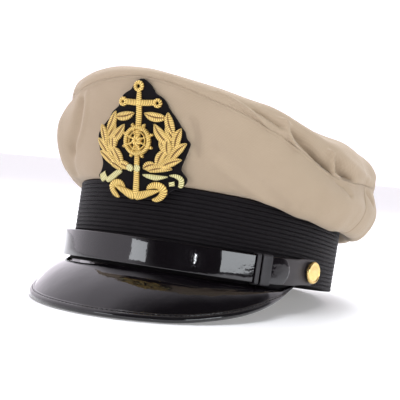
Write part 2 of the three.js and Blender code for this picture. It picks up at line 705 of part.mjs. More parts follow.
// Rings: radius and half the width of their stroke as shares of badgeWidth.
const anchorRing = { v: 0.94, radius: 0.0354, half: 0.0146, sides: 8 };
const stockRing = { u: 0.37, v: 0.812, radius: 0.0277, half: 0.0138, sides: 6 };
const wheelRim = { radius: 0.0965, half: 0.0162, sides: 12 };
const wheelHub = 0.485;          // height of the wheel, share of the badge
const spokeCount = 8;
const spokeReach = 0.146;        // hub to spoke end, share of badgeWidth

function anchorGeometry() {
  const strokes = ANCHOR_STROKES.map(({ stations }, i) => raised(
    stations, { low: bed(0.018 * i), high: reliefHeight * (1 - 0.04 * i) }));
  const rings = [
    raisedRing(0, anchorRing.v, anchorRing, { low: bed(0.12) }),
    ...[-1, 1].map((side) => raisedRing(side * stockRing.u, stockRing.v,
      stockRing, { low: bed(0.15) })),
    raisedRing(0, wheelHub, wheelRim, { low: bed(0.18), high: reliefHeight * 1.15 }),
  ];
  const spokes = [];
  for (let i = 0; i < spokeCount; i += 1) {
    const a = 2 * Math.PI * i / spokeCount;
    if (Math.abs(Math.cos(a)) < 0.01) continue;    // the shank runs there
    const end = [2 * spokeReach * Math.cos(a),
      wheelHub + spokeReach * Math.sin(a) * badgeWidth / badgeHeight];
    spokes.push(raised([[0, wheelHub, 0.022], [...end, 0.03]],
      { low: bed(0.2 + 0.012 * i), high: reliefHeight * (0.82 - 0.012 * i), crest: [0] }));
  }
  return joined([...strokes, ...rings, ...spokes]);
}
add('badge_anchor', anchorGeometry(), gold, badge);

// Laurel leaves on one side: root place, direction in degrees from upward
// (toward the outside) and length; shares of the badge but for the direction.
const LEAF_ROWS = [
  { u: 0.36, v: 0.275, turn: 78, length: 0.20 },
  { u: 0.52, v: 0.310, turn: 66, length: 0.19 },
  { u: 0.50, v: 0.330, turn: 20, length: 0.17 },
  { u: 0.66, v: 0.380, turn: 46, length: 0.18 },
  { u: 0.63, v: 0.400, turn: -8, length: 0.17 },
  { u: 0.74, v: 0.470, turn: 22, length: 0.17 },
  { u: 0.69, v: 0.490, turn: -34, length: 0.17 },
  { u: 0.73, v: 0.550, turn: 0, length: 0.16 },
  { u: 0.66, v: 0.600, turn: -18, length: 0.16 },
  { u: 0.57, v: 0.690, turn: -80, length: 0.18 },
];
const STEM = [[0.24, 0.262, 0.035], [0.42, 0.285, 0.035], [0.58, 0.34, 0.03],
  [0.70, 0.43, 0.03], [0.73, 0.53, 0.025], [0.68, 0.62, 0.02], [0.56, 0.69, 0.02]];
const leafWidth = 0.075;         // half width, share of half the badge
const leafRun = 2.14;            // a leaf's run across, for one upward

function wreathGeometry(side) {
  const stem = raised(STEM.map(([u, v, w]) => [side * u, v, w]),
    { low: bed(0.15), high: reliefHeight * 0.75 });
  const leaves = LEAF_ROWS.map((leaf, i) => {
    const [s, c] = [Math.sin(rad(leaf.turn)), Math.cos(rad(leaf.turn))];
    const at = (share) => [
      side * (leaf.u + s * leaf.length * share * leafRun),
      leaf.v + c * leaf.length * share];
    return raised([[...at(0), leafWidth * 0.35], [...at(0.3), leafWidth * 0.95],
      [...at(0.62), leafWidth], [...at(1), leafWidth * 0.12]],
    { low: bed(0.009 * i), high: reliefHeight * (1 - 0.024 * (i % 3)), crest: [0] });
  });
  return joined([stem, ...leaves]);
}
add('badge_wreath_left', wreathGeometry(1), gold, badge);
add('badge_wreath_right', wreathGeometry(-1), gold, badge);

// The ribbon's two ends, each from the knot beside the shank.
const RIBBON_LEFT = [[0.11, 0.262, 0.06], [0.17, 0.238, 0.055], [0.28, 0.208, 0.045],
  [0.45, 0.205, 0.045], [0.60, 0.222, 0.04], [0.75, 0.232, 0.045], [0.86, 0.205, 0.05],
  [0.85, 0.155, 0.045], [0.76, 0.150, 0.03]];
const RIBBON_RIGHT = [[-0.11, 0.262, 0.06], [-0.18, 0.236, 0.05], [-0.34, 0.208, 0.05],
  [-0.48, 0.180, 0.06], [-0.60, 0.195, 0.05], [-0.70, 0.200, 0.06], [-0.84, 0.170, 0.06]];
add('badge_ribbon_left', raised(RIBBON_LEFT, { high: reliefHeight * 0.7 }), paleGold, badge);
add('badge_ribbon_right', raised(RIBBON_RIGHT, { high: reliefHeight * 0.7 }), paleGold, badge);

// ------------------------------------------------------------ resting pose
const cap = new THREE.Group();
capFrame.rotation.x = -Math.atan(restSlope);
cap.add(capFrame);
const box = new THREE.Box3().setFromObject(cap, true);
const middle = box.getCenter(new THREE.Vector3());
capFrame.position.set(-middle.x, -middle.y, -box.min.z);
export default cap;
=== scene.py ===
"""Looks of a peaked sailor cap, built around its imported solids.

Lengths are millimetres in the cap's own frame, with the band's lower rim in
z = 0, the front toward -Y and the wearer's left toward +X. CapFrame turns
them into metres on the table, where the cap leans back on its visor.
"""
import logging
import math
from collections.abc import Callable, Sequence
from dataclasses import dataclass, field
from enum import Enum

import bmesh
import bpy
import numpy as np
from mathutils import Matrix, Vector


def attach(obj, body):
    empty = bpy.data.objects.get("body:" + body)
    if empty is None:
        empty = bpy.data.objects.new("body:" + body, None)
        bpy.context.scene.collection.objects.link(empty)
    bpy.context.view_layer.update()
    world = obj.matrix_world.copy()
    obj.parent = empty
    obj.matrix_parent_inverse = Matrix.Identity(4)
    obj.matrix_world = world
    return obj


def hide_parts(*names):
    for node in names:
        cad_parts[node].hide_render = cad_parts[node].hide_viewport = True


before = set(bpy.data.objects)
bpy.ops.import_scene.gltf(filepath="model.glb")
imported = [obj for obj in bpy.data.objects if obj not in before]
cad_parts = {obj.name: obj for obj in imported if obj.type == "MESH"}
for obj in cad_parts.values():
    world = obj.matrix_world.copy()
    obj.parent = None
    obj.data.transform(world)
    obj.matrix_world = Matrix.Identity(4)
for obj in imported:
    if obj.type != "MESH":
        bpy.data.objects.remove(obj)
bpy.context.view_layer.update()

log = logging.getLogger("sailor_cap")
MM = 0.001
Array = np.ndarray


# ------------------------------------------------------------------ tables
def table(names: str, rows: Sequence[Sequence[float]]) -> Array:
    """Makes a table with named columns.

    Args:
        names: column names, apart by spaces.
        rows: one tuple of numbers per row.

    Returns:
        A structured array.
    """
    return np.array([tuple(r) for r in rows], dtype=[(n, float) for n in names.split()])


def eased(rows: Array, key: str, name: str, at: Array | float) -> Array:
    """Reads a column of a table as a smooth cubic.

    Args:
        rows: the table.
        key: column that says where each row stands, rising.
        name: column to read.
        at: places to read it at.

    Returns:
        The column's value at each place.
    """
    x, y = rows[key], rows[name]
    i = np.clip(np.searchsorted(x, at, side="right") - 1, 0, len(x) - 2)
    lo, hi = np.maximum(i - 1, 0), np.minimum(i + 2, len(x) - 1)
    span = x[i + 1] - x[i]
    s = np.clip((at - x[i]) / span, 0, 1)
    rise_in = (y[i + 1] - y[lo]) / (x[i + 1] - x[lo]) * span
    rise_out = (y[hi] - y[i]) / (x[hi] - x[i]) * span
    s2, s3 = s * s, s**3
    return ((2 * s3 - 3 * s2 + 1) * y[i] + (s3 - 2 * s2 + s) * rise_in
            + (3 * s2 - 2 * s3) * y[i + 1] + (s3 - s2) * rise_out)


def bell(distance: Array, width: Array | float) -> Array:
    """Smooth bump, 1 in the middle."""
    return np.exp(-((distance / width) ** 2))


def smoothstep(x: Array, low: float, high: float) -> Array:
    """Eased step from 0 at low to 1 at high."""
    s = np.clip((x - low) / (high - low), 0, 1)
    return s * s * (3 - 2 * s)


CROWN_ROWS = table("angle seam_up seam_out belly_out slack top_up", [
    (-180, 0.46, 0.78, 1.00, 1.00, 0.79), (-140, 0.48, 0.78, 1.00, 1.00, 0.80),
    (-108, 0.55, 0.80, 0.98, 1.00, 0.84), (-80, 0.68, 0.78, 1.10, 0.72, 0.89),
    (-60, 0.81, 0.72, 1.20, 0.50, 0.94), (-43, 0.89, 0.65, 1.12, 0.42, 0.985),
    (-24, 0.91, 0.66, 0.78, 0.22, 1.03), (-12, 0.97, 0.64, 0.65, 0.05, 1.04),
    (0, 1.00, 0.62, 0.62, 0.00, 1.03), (9, 0.97, 0.62, 0.62, 0.00, 0.99),
    (20, 0.855, 0.66, 0.67, 0.10, 0.93), (32, 0.745, 0.70, 0.76, 0.35, 0.885),
    (43, 0.62, 0.74, 0.84, 0.60, 0.84), (54, 0.49, 0.76, 0.90, 0.80, 0.80),
    (66, 0.38, 0.78, 0.94, 0.95, 0.775), (80, 0.38, 0.80, 0.97, 1.00, 0.765),
    (96, 0.43, 0.80, 1.00, 1.00, 0.74), (120, 0.45, 0.78, 1.00, 1.00, 0.705),
    (150, 0.45, 0.78, 1.00, 1.00, 0.74), (180, 0.46, 0.78, 1.00, 1.00, 0.79),
])
SIDE_FORM = table("stiff_out stiff_up slack_out slack_up hang to_seam", [
    (0.00, 0.00, 0.00, 0.00, 0.00, 0.0), (0.10, 0.03, 0.09, 0.00, 0.10, 0.0),
    (0.20, 0.10, 0.19, 0.00, 0.62, 0.0), (0.32, 0.21, 0.36, 0.00, 1.00, 0.0),
    (0.44, 0.34, 0.62, 0.03, 0.85, 0.0), (0.57, 0.48, 0.85, 0.15, 0.35, 0.0),
    (0.70, 0.62, 0.97, 0.33, 0.00, 0.0), (0.82, 0.76, 1.00, 0.56, 0.00, 0.15),
    (0.91, 0.88, 1.00, 0.80, 0.00, 0.55), (1.00, 1.00, 1.00, 1.00, 0.00, 1.0),
])
TOP_FORM = table("out inward up middle", [
    (0.00, 0.00, 0.00, 0), (0.75, 0.00, 0.10, 0), (1.00, 0.00, 0.30, 0),
    (0.80, 0.04, 0.52, 0), (0.30, 0.16, 0.74, 0), (0.00, 0.42, 0.90, 0),
    (0.00, 1.00, 0.98, 0), (0.00, 1.00, 0.98, 0.34), (0.00, 1.00, 0.98, 0.67),
    (0.00, 1.00, 0.98, 1.0),
])
# Hollows (+) and ridges (-) drawn on the crown: width and depth in mm, then the
# line's places as degrees from the front and mm of cloth up from the band. The
# edge seam lies at 60.
FOLDS: tuple[tuple[float, float, tuple[tuple[float, float], ...]], ...] = (
    # upright folds in the side at the wearer's right
    (3.8, 3.6, ((-24, 54), (-23.4, 50), (-24, 45), (-25.5, 40), (-28, 36), (-31, 32))),
    (2.2, -0.9, ((-19.8, 57), (-19.4, 51), (-19.6, 45), (-20.8, 40), (-23, 36), (-27, 32))),
    (5.0, 1.2, ((-31, 32), (-35, 18))), (8.0, -0.9, ((-38, 52), (-40, 24))),
    (7.0, 1.2, ((-52, 52), (-48, 18))), (9.0, 2.0, ((-84, 52), (-88, 14))),
    # the roll along the top's edge and the puckers behind it
    (2.4, -1.3, ((23, 93), (27, 88.5), (31, 81.5), (35, 74), (38.4, 63))),
    (3.0, 0.6, ((27, 78), (35, 66))), (4.6, 2.6, ((35, 88), (41, 83))),
    (3.4, -2.8, ((43.5, 94), (44.6, 84), (45.5, 74), (47.4, 68))),
    (7.0, 6.8, ((49, 86), (52, 80), (57, 74), (61.5, 70))),
    (2.8, -4.2, ((63, 90), (64.5, 82), (65.6, 70))),
    (6.0, 7.0, ((68.5, 83), (71.5, 78), (77, 70))),
    (6.0, -1.2, ((72, 93), (84, 84), (97, 79))), (8.0, -1.8, ((40, 110), (66, 101))),
    (2.6, 1.3, ((69, 58), (74, 55), (78, 50))), (6.0, 1.0, ((84, 57), (93, 50))),
    (3.0, 2.2, ((99, 57), (104, 50))),
    # soft unevenness of the side panel at the wearer's left
    (3.4, 1.6, ((17, 43), (18.4, 37), (19.2, 31))), (9.0, 0.7, ((36, 44), (50, 24))),
    (9.0, 0.8, ((58, 40), (66, 16))), (5.0, 0.6, ((44, 12), (66, 10))),
    (8.0, -0.6, ((24, 50), (40, 46))), (7.0, -0.7, ((78, 30), (84, 10))),
    (3.5, 0.7, ((24, 36), (40, 30), (50, 26))), (3.0, -0.5, ((26, 30), (44, 22))),
    # the back, seen from the other sides
    (7.0, 2.4, ((128, 61), (134, 84))), (6.0, 1.6, ((108, 62), (112, 80))),
    (7.0, 1.8, ((150, 62), (152, 80))), (6.0, 1.8, ((172, 61), (168, 82))),
    (7.0, 2.2, ((-70, 62), (-63, 86))), (7.0, 1.8, ((-98, 62), (-101, 82))),
    (7.0, 2.6, ((-122, 61), (-130, 86))), (7.0, 1.8, ((-152, 62), (-150, 82))),
    (8.0, 1.2, ((112, 48), (118, 14))), (9.0, 1.4, ((140, 50), (136, 14))),
    (9.0, 1.2, ((168, 50), (172, 12))), (8.0, 1.2, ((-112, 48), (-118, 14))),
    (9.0, 1.4, ((-142, 50), (-136, 14))), (9.0, 1.2, ((-166, 50), (-170, 12))),
    # the level top, slack cloth
    (12.0, 1.6, ((20, 150), (60, 110))), (13.0, 1.5, ((-40, 140), (-100, 112))),
    (12.0, 1.5, ((120, 108), (170, 126))), (12.0, 1.3, ((-150, 108), (-170, 140))),
    (10.0, -1.0, ((80, 130), (110, 96))), (10.0, -0.8, ((-10, 120), (-30, 100))),
)
VISOR_ROWS = table("at out lift", [
    (0.000, 1.000, 0.000), (0.143, 0.965, 0.000), (0.286, 0.870, 0.000),
    (0.360, 0.800, 0.014), (0.430, 0.720, 0.040), (0.571, 0.530, 0.100),
    (0.714, 0.340, 0.196), (0.857, 0.170, 0.338), (0.950, 0.085, 0.460),
    (1.000, 0.050, 0.520),
])
STRAP_ROWS = table("angle height off", [
    (-78.3, 1.00, 0.30), (-72.3, 0.92, 0.34), (-70, 0.82, 0.85), (-58, 0.68, 1.40),
    (-42, 0.52, 1.35), (-20, 0.45, 1.00), (0, 0.44, 0.76), (20, 0.45, 0.72),
    (46, 0.54, 0.66), (64, 0.75, 0.60), (71.3, 0.92, 0.36), (78.3, 1.00, 0.30),
])
# Outline of the felt: half widths at shares of its height, toward the wearer's
# left and right.
PATCH_ROWS = table("up left right", [
    (0.000, 0.30, 0.26), (0.012, 0.50, 0.40), (0.055, 0.62, 0.54), (0.090, 0.70, 0.66),
    (0.118, 0.86, 0.78), (0.150, 0.945, 0.91), (0.195, 0.97, 0.86), (0.232, 0.91, 0.83),
    (0.270, 0.85, 0.82), (0.312, 0.87, 0.85), (0.371, 0.915, 0.91), (0.430, 0.96, 0.96),
    (0.489, 0.99, 0.985), (0.527, 0.92, 0.97), (0.583, 0.88, 0.87), (0.620, 0.81, 0.79),
    (0.661, 0.75, 0.70), (0.715, 0.655, 0.63), (0.762, 0.57, 0.50), (0.809, 0.51, 0.455),
    (0.852, 0.42, 0.41), (0.880, 0.30, 0.34), (0.909, 0.255, 0.23), (0.957, 0.17, 0.17),
    (0.985, 0.08, 0.09), (1.000, 0.03, 0.03),
])
# Laurel leaves from root to tip, and half their width in mm.
LEAVES_LEFT = table("root_u root_v tip_u tip_v half", [
    (0.60, 0.400, 0.44, 0.520, 2.5), (0.52, 0.340, 0.72, 0.420, 2.5),
    (0.72, 0.500, 0.54, 0.640, 2.6), (0.36, 0.275, 0.62, 0.320, 2.4),
    (0.25, 0.240, 0.70, 0.268, 2.2), (0.147, 0.256, 0.375, 0.300, 2.4),
    (0.44, 0.258, 0.86, 0.352, 2.5), (0.415, 0.288, 0.547, 0.425, 2.6),
    (0.64, 0.340, 0.93, 0.490, 2.6), (0.60, 0.390, 0.59, 0.525, 2.6),
    (0.72, 0.440, 0.815, 0.610, 2.6), (0.62, 0.474, 0.312, 0.631, 3.0),
    (0.68, 0.560, 0.555, 0.735, 2.6), (0.512, 0.687, 0.103, 0.716, 2.6),
])
LEAVES_RIGHT = table("root_u root_v tip_u tip_v half", [
    (-0.62, 0.400, -0.47, 0.510, 2.5), (-0.48, 0.320, -0.72, 0.420, 2.6),
    (-0.71, 0.480, -0.52, 0.630, 2.6), (-0.32, 0.262, -0.56, 0.330, 2.4),
    (-0.292, 0.235, -0.610, 0.288, 2.4), (-0.141, 0.250, -0.368, 0.279, 2.4),
    (-0.49, 0.270, -0.861, 0.368, 2.5), (-0.322, 0.277, -0.531, 0.413, 2.7),
    (-0.63, 0.340, -0.945, 0.477, 2.6), (-0.53, 0.400, -0.573, 0.531, 2.7),
    (-0.725, 0.440, -0.865, 0.599, 2.5), (-0.60, 0.462, -0.304, 0.614, 3.0),
    (-0.69, 0.545, -0.525, 0.720, 2.6), (-0.499, 0.676, -0.100, 0.714, 2.6),
])


# ------------------------------------------------------------------- frame
@dataclass(frozen=True)
class CapFrame:
    """The head's oval and how the cap leans and rests on the table."""

    half_length: float = 104.5
    half_width: float = 83.6
    band_height: float = 44.5
    band_flare: float = 0.8
    lean: float = math.atan(36.0 / 240.0)
    rest: tuple[float, float, float] = (-0.375, 2.459, 15.543)

    def outward(self, angle: Array) -> Array:
        """Outward direction of the oval at angles from the front."""
        a = np.radians(angle)
        n = np.stack([np.sin(a) / self.half_width**2, -np.cos(a) / self.half_length**2,
                      np.zeros_like(a)], axis=-1)
        return n / np.linalg.norm(n, axis=-1, keepdims=True)

    def around(self, angle: Array, out: Array, z: Array) -> Array:
        """Points at angles from the front, distances outside the oval.

        Args:
            angle: degrees from the front toward the wearer's left.
            out: distance outside the band's lower rim.
            z: height above that rim.

        Returns:
            One point a row.
        """
        angle, out, z = np.broadcast_arrays(
            np.asarray(angle, float), np.asarray(out, float), np.asarray(z, float))
        a = np.radians(angle)
        r = 1 / np.hypot(np.sin(a) / self.half_width, np.cos(a) / self.half_length)
        p = np.stack([r * np.sin(a), -r * np.cos(a), z], axis=-1)
        return p + self.outward(angle) * out[..., None]

    def arc(self, angle: Array) -> Array:
        """Length of the oval for one degree at an angle."""
        return np.linalg.norm(self.around(np.asarray(angle, float) + 0.5, 0, 0)
                              - self.around(np.asarray(angle, float) - 0.5, 0, 0), axis=-1)

    def band_out(self, z: Array | float) -> Array | float:
        """How far the band stands out at a height."""
        return self.band_flare * z / self.band_height

    def rest_height(self, y: Array) -> Array:
        """Height of the table's level in the cap's frame, front to back."""
        return (y - self.half_length) * math.tan(self.lean)

    def to_world(self, points: Array) -> Array:
        """Turns points in the cap's frame into metres on the table."""
        c, s = math.cos(self.lean), math.sin(self.lean)
        x, y, z = points[..., 0], points[..., 1], points[..., 2]
        turned = np.stack([x, y * c + z * s, -y * s + z * c], axis=-1)
        return (turned + np.array(self.rest)) * MM

    def turn(self) -> Matrix:
        """Rotation from the cap's frame to the table's."""
        return Matrix.Rotation(-self.lean, 3, "X")


CAP = CapFrame()


# ------------------------------------------------------------ mesh workshop
def finish_mesh(bm: bmesh.types.BMesh, name: str, material: bpy.types.Material,
                smooth: bool = True) -> bpy.types.Object:
    """Turns a bmesh into a named, dressed object at the origin.

    Args:
        bm: mesh in world metres; it is freed.
        name: the piece's name.
        material: its finish.
        smooth: whether its faces are smooth.

    Returns:
        The new object, linked to the scene.
    """
    for face in bm.faces:
        face.smooth = smooth
    mesh = bpy.data.meshes.new(name)
    bm.to_mesh(mesh)
    bm.free()
    mesh.materials.append(material)
    piece = bpy.data.objects.new(name, mesh)
    bpy.context.scene.collection.objects.link(piece)
    return piece


Place = Callable[[Array, Array], Array]


def face_away(bm: bmesh.types.BMesh, middle: Vector) -> None:
    """Turns an open sheet's faces away from a point."""
    bm.normal_update()
    score = sum(f.calc_area() * f.normal.dot(f.calc_center_median() - middle)
                for f in bm.faces)
    if score < 0:
        bmesh.ops.reverse_faces(bm, faces=bm.faces[:])


def shaped_sheet(name: str, across: int, up: int, place: Place, scale: Place,
                 material: bpy.types.Material, middle: Array | None = None,
                 weld: float = 1e-6) -> bpy.types.Object:
    """Shapes a grid into a sheet, with a map in metres of its own surface.

    Args:
        name: the piece's name.
        across: cells along the first share.
        up: cells along the second share.
        place: point in the cap's frame for two shares, 0 to 1 each.
        scale: length in mm along and up the sheet for two shares.
        material: its finish.
        middle: point in the cap's frame that the faces look away from.
        weld: distance in metres under which points are joined.

    Returns:
        The piece.
    """
    bm = bmesh.new()
    bmesh.ops.create_grid(bm, x_segments=across, y_segments=up, size=0.5)
    bm.verts.ensure_lookup_table()
    co = np.array([v.co[:] for v in bm.verts])
    u, v = np.clip(co[:, 0] + 0.5, 0, 1), np.clip(co[:, 1] + 0.5, 0, 1)
    points = CAP.to_world(place(u, v))
    pattern = scale(u, v) * MM
    layer = bm.loops.layers.uv.new("surface")
    for vert, point in zip(bm.verts, points):
        vert.co = point
    for face in bm.faces:
        for loop in face.loops:
            loop[layer].uv = pattern[loop.vert.index]
    if weld:
        bmesh.ops.remove_doubles(bm, verts=bm.verts[:], dist=weld)
    look_from = Vector(CAP.to_world(np.array([0.0, 0.0, 30.0]) if middle is None else middle))
    face_away(bm, look_from)
    return finish_mesh(bm, name, material)


def walled(piece: bpy.types.Object, thickness: float, inner: int = 0) -> bpy.types.Object:
    """Gives a sheet a wall behind its face, with a Solidify modifier."""
    mod = piece.modifiers.new("wall", "SOLIDIFY")
    mod.thickness = thickness * MM
    mod.offset = -1.0
    mod.use_even_offset = False
    mod.material_offset = inner
    mod.material_offset_rim = 0
    return piece


def fitted(piece: bpy.types.Object, slot: str, *nodes: str) -> bpy.types.Object:
    """Tells the frame which body and solids a piece goes with.

    Args:
        piece: the finished piece.
        slot: not used.
        nodes: the solids that it stands for.

    Returns:
        The same piece.
    """
    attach(piece, "root")
    if nodes:
        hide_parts(*nodes)
    log.info("%s: %d faces, for %s", piece.name, len(piece.data.polygons),
             ", ".join(nodes) or "no solid")
    return piece


# ---------------------------------------------------------------- finishes
class Nodes:
    """A material's node tree, built with short calls."""

    def __init__(self, name: str) -> None:
        """Starts a material with one Principled shader."""
        self.material = bpy.data.materials.new(name)
        self.material.use_nodes = True
        self.tree = self.material.node_tree
        self.shader = self.tree.nodes["Principled BSDF"]

    def node(self, kind: str, **values: object) -> bpy.types.Node:
        """Adds a node; values set its own settings."""
        made = self.tree.nodes.new(kind)
        for key, value in values.items():
            setattr(made, key, value)
        return made

    def link(self, source: bpy.types.NodeSocket, target: bpy.types.NodeSocket) -> None:
        """Joins two sockets."""
        self.tree.links.new(source, target)

    def coords(self, kind: str, scale: Sequence[float] = (1, 1, 1),
               turn: float = 0.0) -> bpy.types.NodeSocket:
        """Coordinates of a kind, scaled and turned about Z."""
        source = self.node("ShaderNodeTexCoord").outputs[kind]
        mapping = self.node("ShaderNodeMapping")
        mapping.inputs["Scale"].default_value = scale
        mapping.inputs["Rotation"].default_value = (0, 0, turn)
        self.link(source, mapping.inputs["Vector"])
        return mapping.outputs["Vector"]

    def noise(self, vector: bpy.types.NodeSocket, scale: float, detail: float = 3.0,
              roughness: float = 0.55) -> bpy.types.NodeSocket:
        """Soft noise, 0 to 1."""
        made = self.node("ShaderNodeTexNoise")
        made.inputs["Scale"].default_value = scale
        made.inputs["Detail"].default_value = detail
        made.inputs["Roughness"].default_value = roughness
        self.link(vector, made.inputs["Vector"])
        return made.outputs["Fac"]

    def wave(self, vector: bpy.types.NodeSocket, pitch: float, direction: str = "X",
             distortion: float = 0.0, detail_scale: float = 1.0) -> bpy.types.NodeSocket:
        """Stripes with a pitch in metres across one direction."""
        made = self.node("ShaderNodeTexWave", wave_type="BANDS", bands_direction=direction)
        made.inputs["Scale"].default_value = 0.314159 / pitch
        made.inputs["Distortion"].default_value = distortion
        made.inputs["Detail"].default_value = 1.0
        made.inputs["Detail Scale"].default_value = detail_scale
        self.link(vector, made.inputs["Vector"])
        return made.outputs["Fac"]

    def math(self, operation: str, first: object, second: object) -> bpy.types.NodeSocket:
        """Sum, product or the like of two sockets or numbers."""
        made = self.node("ShaderNodeMath", operation=operation)
        for socket, value in zip(made.inputs, (first, second)):
            if isinstance(value, bpy.types.NodeSocket):
                self.link(value, socket)
            else:
                socket.default_value = value
        return made.outputs[0]

    def ramp(self, value: bpy.types.NodeSocket,
             stops: Sequence[tuple[float, Sequence[float]]]) -> bpy.types.NodeSocket:
        """Colours along a value."""
        made = self.node("ShaderNodeValToRGB")
        elements = made.color_ramp.elements
        while len(elements) < len(stops):
            elements.new(0.5)
        for element, (at, colour) in zip(elements, stops):
            element.position = at
            element.color = (*colour, 1.0)
        self.link(value, made.inputs["Fac"])
        return made.outputs["Color"]

    def span(self, value: bpy.types.NodeSocket, low: float, high: float,
             start: float = 0.0, end: float = 1.0) -> bpy.types.NodeSocket:
        """Value moved from start..end to low..high."""
        made = self.node("ShaderNodeMapRange")
        for key, number in (("From Min", start), ("From Max", end),
                            ("To Min", low), ("To Max", high)):
            made.inputs[key].default_value = number
        self.link(value, made.inputs["Value"])
        return made.outputs["Result"]

    def bump(self, height: bpy.types.NodeSocket, strength: float, distance: float,
             under: bpy.types.NodeSocket | None = None) -> bpy.types.NodeSocket:
        """Bump of a height, a distance in metres deep, over another normal."""
        made = self.node("ShaderNodeBump")
        made.inputs["Strength"].default_value = strength
        made.inputs["Distance"].default_value = distance
        self.link(height, made.inputs["Height"])
        if under is not None:
            self.link(under, made.inputs["Normal"])
        return made.outputs["Normal"]

    def set(self, **values: object) -> None:
        """Sets the shader's inputs; sockets are linked, numbers are set."""
        for key, value in values.items():
            socket = self.shader.inputs[key.replace("_", " ")]
            if isinstance(value, bpy.types.NodeSocket):
                self.link(value, socket)
            else:
                socket.default_value = value


Colour = tuple[float, float, float]


@dataclass(frozen=True)
class CottonDrill:
    """Plain cloth with a fine twill, a little slubbed."""

    name: str = "khaki_cotton_drill"
    light: Colour = (0.425, 0.334, 0.239)
    dark: Colour = (0.358, 0.277, 0.190)
    yarn: float = 0.00062

    def material(self) -> bpy.types.Material:
        """Builds the cloth's nodes."""
        n = Nodes(self.name)
        cloth = n.coords("UV")
        twill = n.coords("UV", turn=math.radians(38))
        warp = n.wave(cloth, self.yarn, "X", 0.6, 2.0)
        weft = n.wave(cloth, self.yarn * 1.15, "Y", 0.6, 2.0)
        ridge = n.wave(twill, self.yarn * 1.7, "X", 1.0, 1.5)
        weave = n.math("ADD", n.math("MULTIPLY", warp, weft), n.math("MULTIPLY", ridge, 0.6))
        slub = n.noise(n.coords("UV", (240, 2600, 1)), 1.0, 2.0)
        patchy = n.noise(n.coords("Object"), 26.0, 3.0)
        shade = n.math("ADD", n.math("MULTIPLY", patchy, 0.55),
                       n.math("ADD", n.math("MULTIPLY", slub, 0.28),
                              n.math("MULTIPLY", weave, 0.16)))
        colour = n.ramp(shade, [(0.25, self.dark), (0.80, self.light)])
        soft = n.bump(n.noise(n.coords("Object"), 95.0, 2.0), 0.26, 0.0012,
                      n.bump(n.noise(n.coords("Object"), 32.0, 2.0), 0.30, 0.0030))
        normal = n.bump(weave, 0.30, 0.00018, soft)
        n.set(Base_Color=colour, Normal=normal,
              Roughness=n.span(weave, 0.80, 0.95), Specular_IOR_Level=0.25,
              Sheen_Weight=0.20, Sheen_Roughness=0.45)
        n.shader.inputs["Sheen Tint"].default_value = (1.0, 0.95, 0.88, 1.0)
        return n.material


@dataclass(frozen=True)
class Braid:
    """Black ribbed braid, its ribs wound with fine cross threads."""

    name: str = "black_ribbed_braid"
    light: Colour = (0.0125, 0.0100, 0.0120)
    dark: Colour = (0.0020, 0.0016, 0.0020)
    thread: float = 0.00055

    def material(self) -> bpy.types.Material:
        """Builds the braid's nodes."""
        n = Nodes(self.name)
        cloth = n.coords("UV")
        threads = n.wave(cloth, self.thread, "X", 0.8, 3.0)
        fuzz = n.noise(n.coords("Object"), 900.0, 2.0)
        patchy = n.noise(n.coords("Object"), 40.0, 2.0)
        shade = n.math("ADD", n.math("MULTIPLY", threads, 0.45),
                       n.math("ADD", n.math("MULTIPLY", fuzz, 0.35),
                              n.math("MULTIPLY", patchy, 0.25)))
        colour = n.ramp(shade, [(0.25, self.dark), (0.85, self.light)])
        normal = n.bump(n.math("ADD", threads, n.math("MULTIPLY", fuzz, 0.6)), 0.55, 0.00022)
        n.set(Base_Color=colour, Normal=normal, Roughness=n.span(threads, 0.46, 0.62),
              Specular_IOR_Level=0.10)
        return n.material


@dataclass(frozen=True)
class Patent:
    """Black lacquered leather: deep gloss, faint waviness and scuffs."""

    name: str = "black_patent"
    base: Colour = (0.0040, 0.0030, 0.0040)
    wave_depth: float = 0.0006
    wave_scale: float = 38.0
    shaded_root: float = 0.0  # metres at the root where the coat and gloss are taken off, as painted shade for the strap's shadow

    def material(self) -> bpy.types.Material:
        """Builds the lacquer's nodes."""
        n = Nodes(self.name)
        place = n.coords("Object")
        waves = n.noise(place, self.wave_scale, 1.0)
        grain = n.noise(place, 420.0, 2.0)
        scuffs = n.noise(n.coords("Object", (1, 1, 1)), 150.0, 5.0, 0.7)
        cloud = n.noise(place, 18.0, 2.0)
        dark = tuple(c * 0.6 for c in self.base)
        colour = n.ramp(cloud, [(0.3, dark), (0.75, self.base)])
        ripple = n.bump(n.noise(place, self.wave_scale * 3.2, 2.0), 0.10, self.wave_depth * 0.5,
                        n.bump(waves, 0.5, self.wave_depth))
        normal = n.bump(grain, 0.10, 0.0003, ripple)
        n.set(Base_Color=colour, Normal=normal,
              Specular_IOR_Level=0.15, Coat_Weight=1.0, Coat_Roughness=0.03, Coat_IOR=1.46)
        gloss = n.span(scuffs, 0.07, 0.16, 0.35, 0.75)
        n.link(n.bump(grain, 0.07, 0.0003, ripple), n.shader.inputs["Coat Normal"])
        # painted shade: at the root the coat is taken off and the gloss dulled, so the strip under
        # the strap reads dark
        if self.shaded_root:
            across = n.node("ShaderNodeSeparateXYZ")
            n.link(n.coords("UV"), across.inputs["Vector"])
            n.set(Coat_Weight=n.span(across.outputs["Y"], 0.0, 1.0, self.shaded_root, self.shaded_root * 1.12))
            gloss = n.math("ADD", gloss, n.span(across.outputs["Y"], 0.6, 0.0,
                                                self.shaded_root, self.shaded_root * 1.12))
        n.set(Roughness=gloss)
        return n.material


